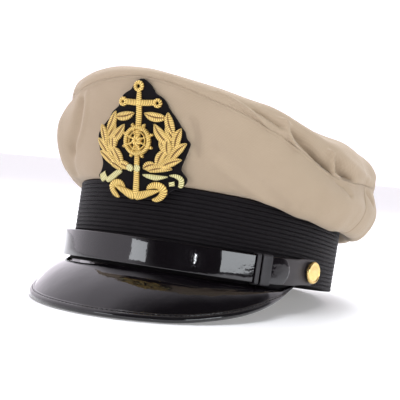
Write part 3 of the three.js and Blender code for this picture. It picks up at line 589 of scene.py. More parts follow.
@dataclass(frozen=True)
class GrainLeather:
    """Plain dark leather with a fine grain, worn lighter where it is rubbed."""

    name: str = "dark_grain_leather"
    base: Colour = (0.014, 0.013, 0.0145)
    worn: Colour = (0.036, 0.033, 0.036)
    roughness: float = 0.50

    def material(self) -> bpy.types.Material:
        """Builds the leather's nodes."""
        n = Nodes(self.name)
        place = n.coords("Object")
        cells = n.node("ShaderNodeTexVoronoi", feature="DISTANCE_TO_EDGE")
        cells.inputs["Scale"].default_value = 1100.0
        n.link(place, cells.inputs["Vector"])
        pores = n.noise(place, 700.0, 3.0)
        wear = n.noise(place, 90.0, 4.0)
        colour = n.ramp(wear, [(0.35, self.base), (0.85, self.worn)])
        normal = n.bump(cells.outputs["Distance"], 0.35, 0.0001,
                        n.bump(pores, 0.15, 0.00012))
        n.set(Base_Color=colour, Normal=normal,
              Roughness=n.span(wear, self.roughness - 0.08, self.roughness + 0.1),
              Specular_IOR_Level=0.45)
        return n.material


@dataclass(frozen=True)
class Felt:
    """Black wool felt with a short nap."""

    name: str = "black_wool_felt"

    def material(self) -> bpy.types.Material:
        """Builds the felt's nodes."""
        n = Nodes(self.name)
        place = n.coords("Object")
        nap = n.noise(place, 1500.0, 4.0, 0.7)
        clumps = n.noise(place, 220.0, 3.0)
        colour = n.ramp(n.math("ADD", n.math("MULTIPLY", nap, 0.6),
                               n.math("MULTIPLY", clumps, 0.4)),
                        [(0.3, (0.0020, 0.0016, 0.0020)), (0.8, (0.0080, 0.0064, 0.0080))])
        normal = n.bump(nap, 0.6, 0.00025, n.bump(clumps, 0.3, 0.0004))
        n.set(Base_Color=colour, Normal=normal, Roughness=0.95, Specular_IOR_Level=0.1,
              Sheen_Weight=0.04, Sheen_Roughness=0.6)
        return n.material


@dataclass(frozen=True)
class Bullion:
    """Coiled metal thread laid side by side; its turns follow the piece's map. Its colour carries
    painted light: a painted highlight on each coil's crest, and painted shade between the turns and
    along each stroke's edges.
    """

    name: str = "gold_bullion_thread"
    # light is the painted highlight on the coils' crests, middle the gold between, dark the painted
    # shade in the gaps and at the edges
    light: Colour = (0.930, 0.715, 0.240)
    middle: Colour = (0.680, 0.415, 0.090)
    dark: Colour = (0.120, 0.048, 0.010)
    metallic: float = 0.35
    # whether painted shade darkens the middle of each stroke, its midrib groove
    shaded_midrib: bool = False

    def material(self) -> bpy.types.Material:
        """Builds the thread's nodes."""
        n = Nodes(self.name)
        coils = n.wave(n.coords("UV"), 1.0, "X", 0.0)
        wires = n.wave(n.coords("UV"), 0.25, "X", 0.3)
        fray = n.noise(n.coords("Object"), 1400.0, 2.0)
        tone = n.noise(n.coords("Object"), 160.0, 2.0)
        # painted highlight and shade: the coils' stripes lighten each turn's crest and darken the
        # gap between turns
        shade = n.math("ADD", n.math("MULTIPLY", coils, 0.62),
                       n.math("ADD", n.math("MULTIPLY", fray, 0.22),
                              n.math("MULTIPLY", tone, 0.20)))
        # painted shade: each stroke darkens toward its edges, where it meets the next stroke
        side = n.node("ShaderNodeSeparateXYZ")
        n.link(n.coords("UV"), side.inputs["Vector"])
        apart = n.math("ABSOLUTE", side.outputs["Y"], 0.0)
        shade = n.math("MULTIPLY", shade, n.span(apart, 1.0, 0.0, 0.82, 1.0))
        # painted shade down the middle groove of each leaf
        if self.shaded_midrib:
            shade = n.math("MULTIPLY", shade, n.span(apart, 0.25, 1.0, 0.04, 0.18))
        # the ramp runs from painted shade through the gold to a painted highlight
        colour = n.ramp(shade, [(0.16, self.dark), (0.42, self.middle), (0.72, self.light)])
        relief = n.math("ADD", n.math("MULTIPLY", wires, 0.6), n.math("MULTIPLY", fray, 0.5))
        n.set(Base_Color=colour, Normal=n.bump(relief, 0.5, 0.0002), Metallic=self.metallic,
              Roughness=n.span(coils, 0.55, 0.30), Specular_IOR_Level=0.6)
        return n.material


@dataclass(frozen=True)
class Brass:
    """Polished gilt brass with fine handling marks."""

    name: str = "gilt_brass"
    light: Colour = (0.860, 0.640, 0.280)
    dark: Colour = (0.760, 0.530, 0.190)

    def material(self) -> bpy.types.Material:
        """Builds the metal's nodes."""
        n = Nodes(self.name)
        marks = n.noise(n.coords("Object", (1, 1, 6)), 400.0, 4.0, 0.7)
        tone = n.noise(n.coords("Object"), 120.0, 2.0)
        colour = n.ramp(tone, [(0.3, self.dark), (0.7, self.light)])
        n.set(Base_Color=colour, Metallic=1.0, Roughness=n.span(marks, 0.16, 0.34, 0.3, 0.7),
              Normal=n.bump(marks, 0.03, 0.0001))
        return n.material


@dataclass(frozen=True)
class Thread:
    """Waxed sewing thread, its twist read from the piece's map."""

    name: str = "black_thread"
    base: Colour = (0.012, 0.011, 0.012)

    def material(self) -> bpy.types.Material:
        """Builds the thread's nodes."""
        n = Nodes(self.name)
        twist = n.noise(n.coords("Object"), 2200.0, 2.0)
        colour = n.ramp(twist, [(0.3, tuple(c * 0.6 for c in self.base)), (0.7, self.base)])
        n.set(Base_Color=colour, Roughness=0.45, Normal=n.bump(twist, 0.3, 0.0001))
        return n.material


# -------------------------------------------------------------------- band
@dataclass
class Band:
    """Ribbed braid band round the head."""

    ribs: int = 17
    rib_depth: float = 0.85
    groove_depth: float = 0.22
    wall: float = 2.6
    points_per_rib: int = 9
    stations: int = 336
    finish: Braid = field(default_factory=Braid)

    def section(self) -> tuple[Array, Array]:
        """Closed section as distances out and heights."""
        pitch = CAP.band_height / self.ribs
        t = np.linspace(0, self.ribs, self.ribs * self.points_per_rib + 1)
        share = t - np.floor(t)
        crest = np.sqrt(np.clip(np.sin(np.pi * share), 0, 1))
        out = -self.rib_depth * (1 - crest) - self.groove_depth * bell(share - 0.5, 0.09)
        z = t * pitch
        out = out + CAP.band_out(z)
        back = [(CAP.band_out(CAP.band_height) - 0.9, CAP.band_height + 0.0),
                (CAP.band_out(CAP.band_height) - self.wall, CAP.band_height - 0.2),
                (-self.wall * 0.97, CAP.band_height * 0.5), (-self.wall, 0.25),
                (-self.wall * 0.6, 0.0), (-0.62, 0.02)]
        return (np.append(out, [p[0] for p in back]), np.append(z, [p[1] for p in back]))

    def build(self) -> None:
        """Makes the band and hands it to the frame."""
        outs, heights = self.section()
        steps = len(outs)
        run = np.concatenate([[0], np.cumsum(np.hypot(np.diff(outs), np.diff(heights)))])

        def place(u: Array, v: Array) -> Array:
            """Points of the surface at shares u and v of it."""
            k = np.rint(v * steps).astype(int) % steps
            angle = -180 + 360 * u
            sway = 0.18 * np.sin(np.radians(angle * 3 + 40)) + 0.1 * np.sin(np.radians(angle * 7))
            lift = sway * np.clip(heights[k] / 8, 0, 1) * np.clip(
                (CAP.band_height - heights[k]) / 8, 0, 1)
            return CAP.around(angle, outs[k], heights[k] + lift)

        def scale(u: Array, v: Array) -> Array:
            """Flat place of the pattern at u and v, in mm."""
            k = np.minimum(np.rint(v * steps).astype(int), steps - 1)
            return np.stack([u * 595.0, run[k]], axis=-1)

        piece = shaped_sheet("band_braid", self.stations, steps, place, scale,
                             self.finish.material())
        bm = bmesh.new()
        bm.from_mesh(piece.data)
        bmesh.ops.recalc_face_normals(bm, faces=bm.faces[:])
        bm.to_mesh(piece.data)
        bm.free()
        fitted(piece, "ribbed_braid", "band")


# ------------------------------------------------------------------- crown
# mm of cloth up from the band: to the edge seam, to the middle of the top, and
# to where the top starts to narrow toward its middle
EDGE_WAY = 60.0
MIDDLE_WAY = 165.0
NARROW_WAY = 80.0
FOLD_MM_PER_DEGREE = 2.0
LEAST_MM_PER_DEGREE = 0.05
TUCK_MM_PER_DEGREE = 1.9
CLOTH_MM_PER_DEGREE = 1.95


@dataclass
class Crown:
    """Soft cloth crown: two side panels and the top, sewn at the edge."""

    rise: float = 58.6
    top_rise: float = 65.5
    middle_rise: float = 61.0
    overhang: float = 24.0
    slump: float = 7.5
    puff: float = 1.2
    shoulder: float = 26.0
    seam_angle: float = 93.0
    seam_slant: float = 2.5
    seam_draw: float = 1.6
    wall: float = 1.2
    seam_radius: float = 0.95
    roll_depth: float = 0.85
    side_cloth: float = 48.0
    top_cloth: float = 56.0
    fold_start: float = 2.0
    fold_full: float = 12.0
    seam_clear: float = 5.0
    seat: float = 0.3
    finish: CottonDrill = field(default_factory=CottonDrill)

    def row(self, name: str, angle: Array) -> Array:
        """A column of the crown's table at angles, wrapped round the head."""
        return eased(CROWN_ROWS, "angle", name, (angle + 180) % 360 - 180)

    def side_point(self, angle: Array, share: Array) -> Array:
        """Smooth side of the crown: out and height at shares from band to seam."""
        k = share * (len(SIDE_FORM) - 1)
        form = {name: self.along(SIDE_FORM[name], k) for name in SIDE_FORM.dtype.names}
        slack = self.row("slack", angle)
        belly = self.overhang * self.row("belly_out", angle)
        reach = belly + (self.overhang * self.row("seam_out", angle) - belly) * form["to_seam"]
        foot = CAP.band_flare - 1.0
        out = form["stiff_out"] + (form["slack_out"] - form["stiff_out"]) * slack
        up = form["stiff_up"] + (form["slack_up"] - form["stiff_up"]) * slack
        drawn = self.seam_draw * bell(self.seam_distance(angle, share) / 1.9, 7) * out
        z = (CAP.band_height + self.seat + self.rise * self.row("seam_up", angle) * up
             - self.slump * slack * form["hang"])
        return np.stack([foot + (reach - foot) * out - drawn, z], axis=-1)

    @staticmethod
    def along(column: Array, k: Array) -> Array:
        """Smooth value of a plain column at places counted in rows."""
        rows = np.zeros(len(column), dtype=[("k", float), ("v", float)])
        rows["k"], rows["v"] = np.arange(len(column)), column
        return eased(rows, "k", "v", k)

    def seam_line(self, share: Array) -> Array:
        """Angle of the quarter seam at shares of the side's height."""
        return self.seam_angle + self.seam_slant * (share - 0.5) * 2

    def seam_distance(self, angle: Array, share: Array) -> Array:
        """Distance in mm round the crown from the nearer quarter seam."""
        wrapped = (angle + 180) % 360 - 180
        return (np.abs(wrapped) - self.seam_line(share)) * 1.9

    def top_point(self, angle: Array, share: Array) -> Array:
        """Smooth top of the crown: points at shares from edge to middle."""
        k = share * (len(TOP_FORM) - 1)
        form = {name: self.along(TOP_FORM[name], k) for name in TOP_FORM.dtype.names}
        seam = self.rise * self.row("seam_up", angle)
        rise = self.top_rise * self.row("top_up", angle) - seam
        out = (self.overhang * self.row("seam_out", angle)
               - self.seam_draw * bell(self.seam_distance(angle, 1.0) / 1.9, 7)
               + self.puff * form["out"] - self.shoulder * form["inward"])
        z = CAP.band_height + 2 * self.seat + seam + rise * form["up"]
        edge = CAP.around(angle, out, z)
        middle = np.array([0.0, 0.0, CAP.band_height + 2 * self.seat + self.middle_rise])
        share_in = np.clip(form["middle"], 0, 1)[..., None]
        return edge * (1 - share_in) + middle * share_in

    def side_base(self, angle: Array, share: Array) -> Array:
        """Point of the smooth side."""
        profile = self.side_point(angle, share)
        return CAP.around(angle, profile[..., 0], profile[..., 1])

    @staticmethod
    def fold_depth(angle: Array, way: Array) -> Array:
        """Depth of all folds at places on the cloth, in mm inward."""
        wrapped = (angle + 180) % 360 - 180
        depth = np.zeros_like(way)
        narrowed = FOLD_MM_PER_DEGREE * (MIDDLE_WAY - way) / (MIDDLE_WAY - NARROW_WAY)
        around_mm = np.where(way < NARROW_WAY, FOLD_MM_PER_DEGREE,
                             np.clip(narrowed, LEAST_MM_PER_DEGREE, FOLD_MM_PER_DEGREE))
        for width, deep, line in FOLDS:
            near = np.full_like(way, np.inf)
            for (angle_a, way_a), (angle_b, way_b) in zip(line, line[1:]):
                gap = (wrapped - angle_a + 180) % 360 - 180
                px, py = gap * around_mm, way - way_a
                dx, dy = (angle_b - angle_a) * around_mm, way_b - way_a
                t = np.clip((px * dx + py * dy) / (dx * dx + dy * dy), 0, 1)
                near = np.minimum(near, np.hypot(px - dx * t, py - dy * t))
            depth += deep * bell(near, width)
        return depth

    @staticmethod
    def rumple(points: Array) -> Array:
        """Slow unevenness of hand-worn cloth at points, in mm."""
        x, y, z = points[..., 0], points[..., 1], points[..., 2]
        return (0.35 * np.sin(x / 11.0 + 1.3 * np.sin(y / 17.0)) * np.sin(z / 9.0 + y / 13.0)
                + 0.22 * np.sin(y / 6.5 + 2.0 * np.sin(x / 19.0 + 0.6)) * np.sin(x / 7.5 - z / 8.0))

    def folded(self, base: Callable[[Array, Array], Array], angle: Array, share: Array,
               way: Array, tuck: Array) -> Array:
        """Moves a smooth surface in by its folds and its turned-in edges.

        Args:
            base: the smooth surface.
            angle: angles from the front.
            share: shares of the surface's own way.
            way: mm of cloth up from the band.
            tuck: extra distance inward at seams.

        Returns:
            Points in the cap's frame.
        """
        step_a, step_s = 0.4, 0.004
        low, high = np.clip(share - step_s, 0, 1), np.clip(share + step_s, 0, 0.995)
        here = base(angle, share)
        flow = base(angle + step_a, share) - base(angle - step_a, share)
        climb = base(angle, high) - base(angle, low)
        normal = np.cross(flow, climb)
        length = np.linalg.norm(normal, axis=-1, keepdims=True)
        normal = np.where(length > 1e-9, normal / np.maximum(length, 1e-9), [0.0, 0.0, 1.0])
        fade = (smoothstep(way, self.fold_start, self.fold_full)
                * smoothstep(np.abs(way - EDGE_WAY), 0.0, self.seam_clear))
        depth = (self.fold_depth(angle, way) - self.rumple(here)) * fade + tuck
        return here - normal * depth[..., None]

    def tucked(self, distance: Array) -> Array:
        """How far an edge is rolled in at a distance from its seam."""
        r = self.seam_radius
        s = np.clip(1 - distance / r, 0, 1)
        return r * self.roll_depth * (1 - np.sqrt(np.clip(1 - s * s, 0, 1)))

    def side(self, name: str, start: int, end: int, stations: int, node: str) -> None:
        """Makes a side panel between the quarter seams on two sides.

        Args:
            name: the piece's name.
            start: -1 for the seam on the wearer's right, +1 on the left.
            end: the seam that it runs to.
            stations: cells round the head.
            node: the solid that it stands for.
        """
        material = self.finish.material() if name.endswith("front") else bpy.data.materials[
            self.finish.name]

        def angles(u: Array, share: Array) -> Array:
            """Angles of the panel at shares of its length."""
            first = start * self.seam_line(share)
            last = end * self.seam_line(share) + (360 if end < start else 0)
            return first + (last - first) * u

        def place(u: Array, v: Array) -> Array:
            """Points of the surface at shares u and v of it."""
            turned = np.abs(angles(np.ones_like(u), v) - angles(np.zeros_like(u), v))
            from_end = np.minimum(u, 1 - u) * (turned * TUCK_MM_PER_DEGREE)
            tuck = np.maximum(self.tucked(from_end + 0.02),
                              self.tucked((1 - v) * self.side_cloth))
            return self.folded(self.side_base, angles(u, v), v, v * EDGE_WAY, tuck)

        def scale(u: Array, v: Array) -> Array:
            """Flat place of the pattern at u and v, in mm."""
            return np.stack([angles(u, v) * CLOTH_MM_PER_DEGREE, v * EDGE_WAY], axis=-1)

        piece = shaped_sheet(name, stations, 72, place, scale, material)
        walled(piece, self.wall)
        fitted(piece, "khaki_cloth", node)

    def top(self) -> None:
        """Makes the top panel."""
        def spread(v: Array) -> Array:
            """Sets the rows of cells closer where the form needs it."""
            return 0.55 * v + 0.45 * v**2

        def place(u: Array, v: Array) -> Array:
            """Points of the surface at shares u and v of it."""
            share = spread(v)
            angle = -180 + 360 * u
            way = EDGE_WAY + share * (MIDDLE_WAY - EDGE_WAY)
            tuck = self.tucked(share * self.top_cloth)
            return self.folded(self.top_point, angle, share, way, tuck)

        def scale(u: Array, v: Array) -> Array:
            """Flat place of the pattern at u and v, in mm."""
            flat = self.top_point(-180 + 360 * u, spread(v))
            return np.stack([flat[..., 0], flat[..., 1] + flat[..., 2] * 0.7], axis=-1)

        piece = shaped_sheet("crown_top_panel", 480, 84, place, scale,
                             bpy.data.materials[self.finish.name])
        walled(piece, self.wall)
        fitted(piece, "khaki_cloth", "crown_top")

    def build(self) -> None:
        """Makes the whole crown."""
        self.side("crown_side_panel_front", -1, 1, 420, "crown_side_front")
        self.side("crown_side_panel_back", 1, -1, 380, "crown_side_back")
        self.top()


# ------------------------------------------------------------------- visor
@dataclass
class Visor:
    """Lacquered peak with its rolled binding and stitching."""

    reach: float = 31.0
    drop: float = 36.0
    half_angle: float = 67.5
    wall: float = 2.0
    root: float = 4.4
    bow: float = 2.2
    binding_width: float = 4.6
    binding_thickness: float = 3.2
    seat: float = 0.3
    stitch_pitch: float = 3.0
    # the visor's root is dulled as painted shade under the strap
    patent: Patent = field(default_factory=lambda: Patent(
        "black_patent_visor", wave_depth=0.0022, wave_scale=26.0, shaded_root=0.0070))
    edging: Patent = field(default_factory=lambda: Patent(
        "black_patent_binding", (0.0085, 0.0075, 0.0085), 0.0004, 90.0))

    def section(self, at: Array) -> dict[str, Array]:
        """Edge, root and directions of the section at shares of the arc."""
        angle = self.half_angle * at
        key = np.abs(at)
        out = self.reach * eased(VISOR_ROWS, "at", "out", key)
        lift = self.drop * eased(VISOR_ROWS, "at", "lift", key)
        level = CAP.rest_height(CAP.around(angle, out, 0)[..., 1])
        z = np.minimum(level + lift, -self.seat - self.wall * 0.8)
        edge = np.stack([out, z], axis=-1)
        root = np.stack([np.full_like(z, 0.2),
                         np.maximum(-self.seat - self.root, z * 0.5)], axis=-1)
        run = root - edge
        length = np.linalg.norm(run, axis=-1)
        along = run / length[..., None]
        up = np.stack([along[..., 1], -along[..., 0]], axis=-1)
        scale = np.minimum(1, length / (3.2 * self.binding_width))
        return {"angle": angle, "edge": edge, "root": root, "along": along, "up": up,
                "length": length, "scale": scale}

    def from_edge(self, s: dict[str, Array], inward: Array, above: Array) -> Array:
        """Out and height at distances inward of and above the visor's edge."""
        return s["edge"] + (s["along"] * np.asarray(inward)[..., None]
                            + s["up"] * np.asarray(above)[..., None]) * s["scale"][..., None]

    def upper(self, at: Array, share: Array) -> Array:
        """Upper face from its root (0) to under the binding (1): out and z."""
        s = self.section(at)
        below = (self.binding_thickness - self.wall) / 2
        end = self.from_edge(s, np.full_like(at, self.binding_width - 1.2),
                             np.full_like(at, below + self.wall - 0.1))
        top = np.stack([s["root"][..., 0], np.full_like(at, -self.seat)], axis=-1)
        neck = 0.10
        t = np.clip((share - neck) / (1 - neck), 0, 1)
        bow = self.bow * 4 * t * (1 - t) * s["scale"]
        slope = s["root"] + (end - s["root"]) * t[..., None] + s["up"] * bow[..., None]
        down = top + (s["root"] - top) * np.clip(share / neck, 0, 1)[..., None]
        round_in = bell(share - neck, 0.05) * 0.5
        picked = np.where((share < neck)[..., None], down, slope)
        return picked + s["up"] * round_in[..., None] * 0.6 * s["scale"][..., None]

    def sheet(self) -> None:
        """Makes the peak's lacquered board."""
        def place(u: Array, v: Array) -> Array:
            """Points of the surface at shares u and v of it."""
            at = -1 + 2 * u
            p = self.upper(at, v)
            return CAP.around(self.half_angle * at, p[..., 0], p[..., 1])

        def scale(u: Array, v: Array) -> Array:
            """Flat place of the pattern at u and v, in mm."""
            return np.stack([u * 260.0, v * 46.0], axis=-1)

        piece = shaped_sheet("visor_board", 220, 44, place, scale, self.patent.material(),
                             middle=np.array([0.0, -60.0, -80.0]))
        walled(piece, self.wall * 0.8)
        fitted(piece, "patent", "visor")

    def binding(self) -> None:
        """Makes the rolled strip round the edge, with its stitch groove."""
        form = table("inward above", [
            (1.02, 0.10), (0.75, 0.02), (0.40, 0.0), (0.16, 0.06), (0.03, 0.22),
            (0.00, 0.45), (0.04, 0.70), (0.16, 0.90), (0.34, 1.0), (0.52, 1.02),
            (0.66, 0.99), (0.73, 0.90), (0.78, 0.985), (0.90, 1.0), (0.98, 0.96),
            (1.02, 0.84), (1.02, 0.50)])
        count = len(form) * 2

        def place(u: Array, v: Array) -> Array:
            """Points of the surface at shares u and v of it."""
            k = (v * count) % count / 2
            at = -1 + 2 * u
            s = self.section(at)
            closed = np.append(form, form[:1])
            inward = np.interp(k, np.arange(len(closed)), closed["inward"])
            above = np.interp(k, np.arange(len(closed)), closed["above"])
            p = self.from_edge(s, inward * self.binding_width, above * self.binding_thickness)
            return CAP.around(s["angle"], p[..., 0], p[..., 1])

        def scale(u: Array, v: Array) -> Array:
            """Flat place of the pattern at u and v, in mm."""
            return np.stack([u * 260.0, v * 14.0], axis=-1)

        piece = shaped_sheet("visor_binding_roll", 240, count, place, scale,
                             self.edging.material())
        bm = bmesh.new()
        bm.from_mesh(piece.data)
        ends = [e for e in bm.edges if e.is_boundary]
        bmesh.ops.holes_fill(bm, edges=ends)
        bmesh.ops.recalc_face_normals(bm, faces=bm.faces[:])
        bm.to_mesh(piece.data)
        bm.free()
        fitted(piece, "patent_binding", "visor_binding")

    def stitches(self) -> None:
        """Makes the row of stitches in the binding's groove."""
        length, at = 0.0, [-0.985]
        walk = np.linspace(-0.985, 0.985, 1500)
        s = self.section(walk)
        groove = self.from_edge(s, np.full_like(walk, 0.73 * self.binding_width),
                                np.full_like(walk, 0.93 * self.binding_thickness))
        line = CAP.around(s["angle"], groove[..., 0], groove[..., 1])
        steps = np.linalg.norm(np.diff(line, axis=0), axis=-1)
        for place, step in zip(walk[1:], steps):
            length += step
            if length >= self.stitch_pitch:
                at.append(float(place))
                length = 0.0
        bm = bmesh.new()
        ahead = 0.25 * np.gradient(line, walk, axis=0)
        for here in at:
            i = int(np.searchsorted(walk, here))
            direction = Vector(CAP.turn() @ Vector(ahead[min(i, len(walk) - 1)])).normalized()
            middle = Vector(CAP.to_world(line[min(i, len(walk) - 1)]))
            turn = direction.to_track_quat("X", "Z").to_matrix().to_4x4()
            size = Matrix.Diagonal((self.stitch_pitch * 0.36 * MM, 0.32 * MM, 0.28 * MM, 1))
            bmesh.ops.create_icosphere(bm, subdivisions=1, radius=1.0,
                                       matrix=Matrix.Translation(middle) @ turn @ size)
        piece = finish_mesh(bm, "visor_binding_stitches", Thread().material())
        fitted(piece, "patent_binding")

    def build(self) -> None:
        """Makes the whole visor."""
        self.sheet()
        self.binding()
        self.stitches()


# ------------------------------------------------------- straps and buttons
class Round(Enum):
    """Which ends of a strap are rounded."""

    BOTH = "both"
    LAST = "last"


@dataclass
class FrontStrap:
    """Two lacquered straps, their two loops and the side buttons."""

    width: float = 16.2
    thickness: float = 1.6
    tip_length: float = 7.0
    tip_angle: float = 60.3
    under_angle: float = 34.0
    keeper_wall: float = 0.9
    keeper_narrow: float = 2.2
    keeper_wide: float = 6.4
    narrow_angle: float = 45.3
    wide_angle: float = 48.9
    button_diameter: float = 14.0
    button_thickness: float = 2.6
    stem: float = 4.0
    standoff: float = 3.4
    button_angle: float = 76.1
    button_height: float = 8.8
    seat: float = 0.3
    patent: Patent = field(default_factory=lambda: Patent(
        "black_patent_strap", wave_depth=0.0011, wave_scale=34.0))
    leather: GrainLeather = field(default_factory=GrainLeather)
    tongue: GrainLeather = field(default_factory=lambda: GrainLeather(
        "dull_strap_leather", (0.026, 0.022, 0.023), (0.046, 0.040, 0.041), 0.44))
    brass: Brass = field(default_factory=Brass)

    def height(self, angle: Array) -> Array:
        """Height of the straps' centre line."""
        return self.button_height * eased(STRAP_ROWS, "angle", "height", angle)

    def under_off(self, angle: Array) -> Array:
        """Distance of the under strap from the band."""
        return self.standoff * eased(STRAP_ROWS, "angle", "off", angle)

    def front_off(self, angle: Array) -> Array:
        """Distance of the front strap, which climbs onto the under strap."""
        step = smoothstep(angle, self.under_angle - 15, self.under_angle - 1)
        return self.under_off(angle) + (self.thickness + self.seat) * step

    def strap(self, name: str, start: float, end: float, off: Callable[[Array], Array],
              rounding: Round, node: str, material: bpy.types.Material) -> None:
        """Makes a strap between two angles.

        Args:
            name: the piece's name.
            start: its first angle.
            end: its last angle.
            off: distance from the band at angles.
            rounding: which ends are rounded.
            node: the solid that it stands for.
            material: its finish.
        """
        corner = 0.45
        form = table("out side", [
            (0.0, -1 + corner / 8), (0.10, -1.0), (0.5, -1.0), (0.90, -1.0 + 0.004),
            (0.99, -1 + corner / 10), (1.015, -0.92), (1.02, -0.5), (1.022, 0.0), (1.02, 0.5),
            (1.015, 0.92), (0.99, 1 - corner / 10), (0.90, 1.0 - 0.004), (0.5, 1.0),
            (0.10, 1.0), (0.0, 1 - corner / 8)])
        count = len(form)
        closed = np.append(form, form[:1])
        tip = [self.tip_length / float(CAP.arc(a)) for a in (start, end)]

        def place(u: Array, v: Array) -> Array:
            """Points of the surface at shares u and v of it."""
            k = (v * count) % count
            bend = u - 0.035 * np.sin(2 * np.pi * u)
            angle = start + (end - start) * bend
            near_end = np.clip((end - angle) / tip[1], 0, 1)
            near = near_end if rounding is Round.LAST else np.minimum(
                near_end, np.clip((angle - start) / tip[0], 0, 1))
            half = self.width / 2 * np.maximum(np.sqrt(1 - (1 - near) ** 2), 0.02)
            out = np.interp(k, np.arange(count + 1), closed["out"]) * self.thickness
            side = np.interp(k, np.arange(count + 1), closed["side"])
            z, away = self.height(angle), off(angle)
            return CAP.around(angle, CAP.band_out(z) + away + out, z + side * half)

        def scale(u: Array, v: Array) -> Array:
            """Flat place of the pattern at u and v, in mm."""
            return np.stack([u * (end - start) * 1.8, v * 36.0], axis=-1)

        piece = shaped_sheet(name, 260, count, place, scale, material)
        bm = bmesh.new()
        bm.from_mesh(piece.data)
        bmesh.ops.holes_fill(bm, edges=[e for e in bm.edges if e.is_boundary])
        bmesh.ops.recalc_face_normals(bm, faces=bm.faces[:])
        bm.to_mesh(piece.data)
        bm.free()
        fitted(piece, "patent_strap", node)

    def keeper(self, name: str, angle: float, length: float, node: str,
               material: bpy.types.Material) -> None:
        """Makes a loop of leather round both straps."""
        z = float(self.height(angle))
        low, high = -self.width / 2 - self.seat, self.width / 2 + self.seat
        back = float(self.under_off(angle)) - self.seat
        front = float(self.front_off(angle)) + self.thickness * 1.12 + self.seat
        half = length / 2 / float(CAP.arc(angle))
        bm = bmesh.new()
        bmesh.ops.create_grid(bm, x_segments=1, y_segments=1, size=1.0)
        for vert in bm.verts:
            vert.co = (back if vert.co.x < 0 else front, low if vert.co.y < 0 else high, 0)
        bmesh.ops.bevel(bm, geom=bm.verts[:], offset=0.8, segments=4, profile=0.5,
                        affect="VERTICES", material=-1)
        ring = bm.edges[:]
        bmesh.ops.delete(bm, geom=bm.faces[:], context="FACES_ONLY")
        made = bmesh.ops.extrude_edge_only(bm, edges=ring)
        for item in made["geom"]:
            if isinstance(item, bmesh.types.BMVert):
                item.co.z = 1.0
        bmesh.ops.subdivide_edges(
            bm, edges=[e for e in bm.edges if abs(e.verts[0].co.z - e.verts[1].co.z) > 0.5],
            cuts=6)
        for vert in bm.verts:
            share = vert.co.z * 2 - 1
            crown = 0.16 * (1 - share**4)
            a = angle + share * half
            cx, cy = (back + front) / 2, (low + high) / 2
            grow_x = math.copysign(crown, vert.co.x - cx) if abs(vert.co.x - cx) > (
                front - back) / 2 - 0.3 else 0.0
            grow_y = math.copysign(crown, vert.co.y - cy) if abs(vert.co.y - cy) > (
                high - low) / 2 - 0.3 else 0.0
            out, dz = vert.co.x + grow_x, vert.co.y + grow_y
            here = CAP.around(a, CAP.band_out(z) + out, float(self.height(a)) + dz)
            vert.co = CAP.to_world(here)
        bmesh.ops.remove_doubles(bm, verts=bm.verts[:], dist=1e-7)
        bmesh.ops.recalc_face_normals(bm, faces=bm.faces[:])
        middle = Vector(CAP.to_world(CAP.around(angle, CAP.band_out(z) + (back + front) / 2, z)))
        face_away(bm, middle)
        piece = finish_mesh(bm, name, material)
        wall = piece.modifiers.new("wall", "SOLIDIFY")
        wall.thickness = self.keeper_wall * MM
        wall.offset = 1.0
        round_edge = piece.modifiers.new("edge", "BEVEL")
        round_edge.width = 0.00028
        round_edge.segments = 2
        round_edge.limit_method = "ANGLE"
        fitted(piece, "keeper_leather", node)

    def button(self, name: str, side: int, node: str, material: bpy.types.Material) -> None:
        """Makes a side button: a rimmed disc on its stem, turned on a lathe."""
        radius, thick, off = self.button_diameter / 2, self.button_thickness, self.standoff
        form = [(0.0, self.seat), (self.stem / 2, self.seat), (self.stem / 2, off - 0.1),
                (radius * 0.80, off), (radius * 0.93, off + thick * 0.10),
                (radius, off + thick * 0.38), (radius * 0.995, off + thick * 0.62),
                (radius * 0.95, off + thick * 0.88), (radius * 0.90, off + thick * 0.98),
                (radius * 0.86, off + thick), (radius * 0.82, off + thick * 0.96),
                (radius * 0.79, off + thick * 0.88), (radius * 0.74, off + thick * 0.86),
                (radius * 0.55, off + thick * 0.92), (radius * 0.30, off + thick * 0.96),
                (0.0, off + thick * 0.98)]
        bm = bmesh.new()
        verts = [bm.verts.new((r * MM, 0, h * MM)) for r, h in form]
        edges = [bm.edges.new(pair) for pair in zip(verts, verts[1:])]
        bmesh.ops.spin(bm, geom=verts + edges, cent=(0, 0, 0), axis=(0, 0, 1),
                       angle=2 * math.pi, steps=64, use_merge=True)
        bmesh.ops.remove_doubles(bm, verts=bm.verts[:], dist=1e-7)
        bmesh.ops.recalc_face_normals(bm, faces=bm.faces[:])
        angle = side * self.button_angle
        foot = CAP.around(angle, CAP.band_out(self.button_height), self.button_height)
        outward = Vector(CAP.turn() @ Vector(CAP.outward(np.array(float(angle)))))
        turn = outward.to_track_quat("Z", "Y").to_matrix().to_4x4()
        bmesh.ops.transform(bm, verts=bm.verts[:],
                            matrix=Matrix.Translation(Vector(CAP.to_world(foot))) @ turn)
        fitted(finish_mesh(bm, name, material), "button_gold", node)

    def build(self) -> None:
        """Makes straps, loops and buttons."""
        patent, leather, brass = (f.material() for f in (self.patent, self.leather, self.brass))
        past = self.width / 2 / float(CAP.arc(self.button_angle))
        self.strap("strap_front_lacquered", -self.button_angle - past, self.tip_angle,
                   self.front_off, Round.BOTH, "strap_front", patent)
        self.strap("strap_under_lacquered", self.under_angle, self.button_angle + past,
                   self.under_off, Round.LAST, "strap_under", self.tongue.material())
        self.keeper("keeper_narrow_loop", self.narrow_angle, self.keeper_narrow,
                    "keeper_narrow", leather)
        self.keeper("keeper_wide_loop", self.wide_angle, self.keeper_wide,
                    "keeper_wide", leather)
        self.button("button_left_gilt", 1, "button_left", brass)
        self.button("button_right_gilt", -1, "button_right", brass)


# ------------------------------------------------------------------- badge
Station = tuple[float, float, float]


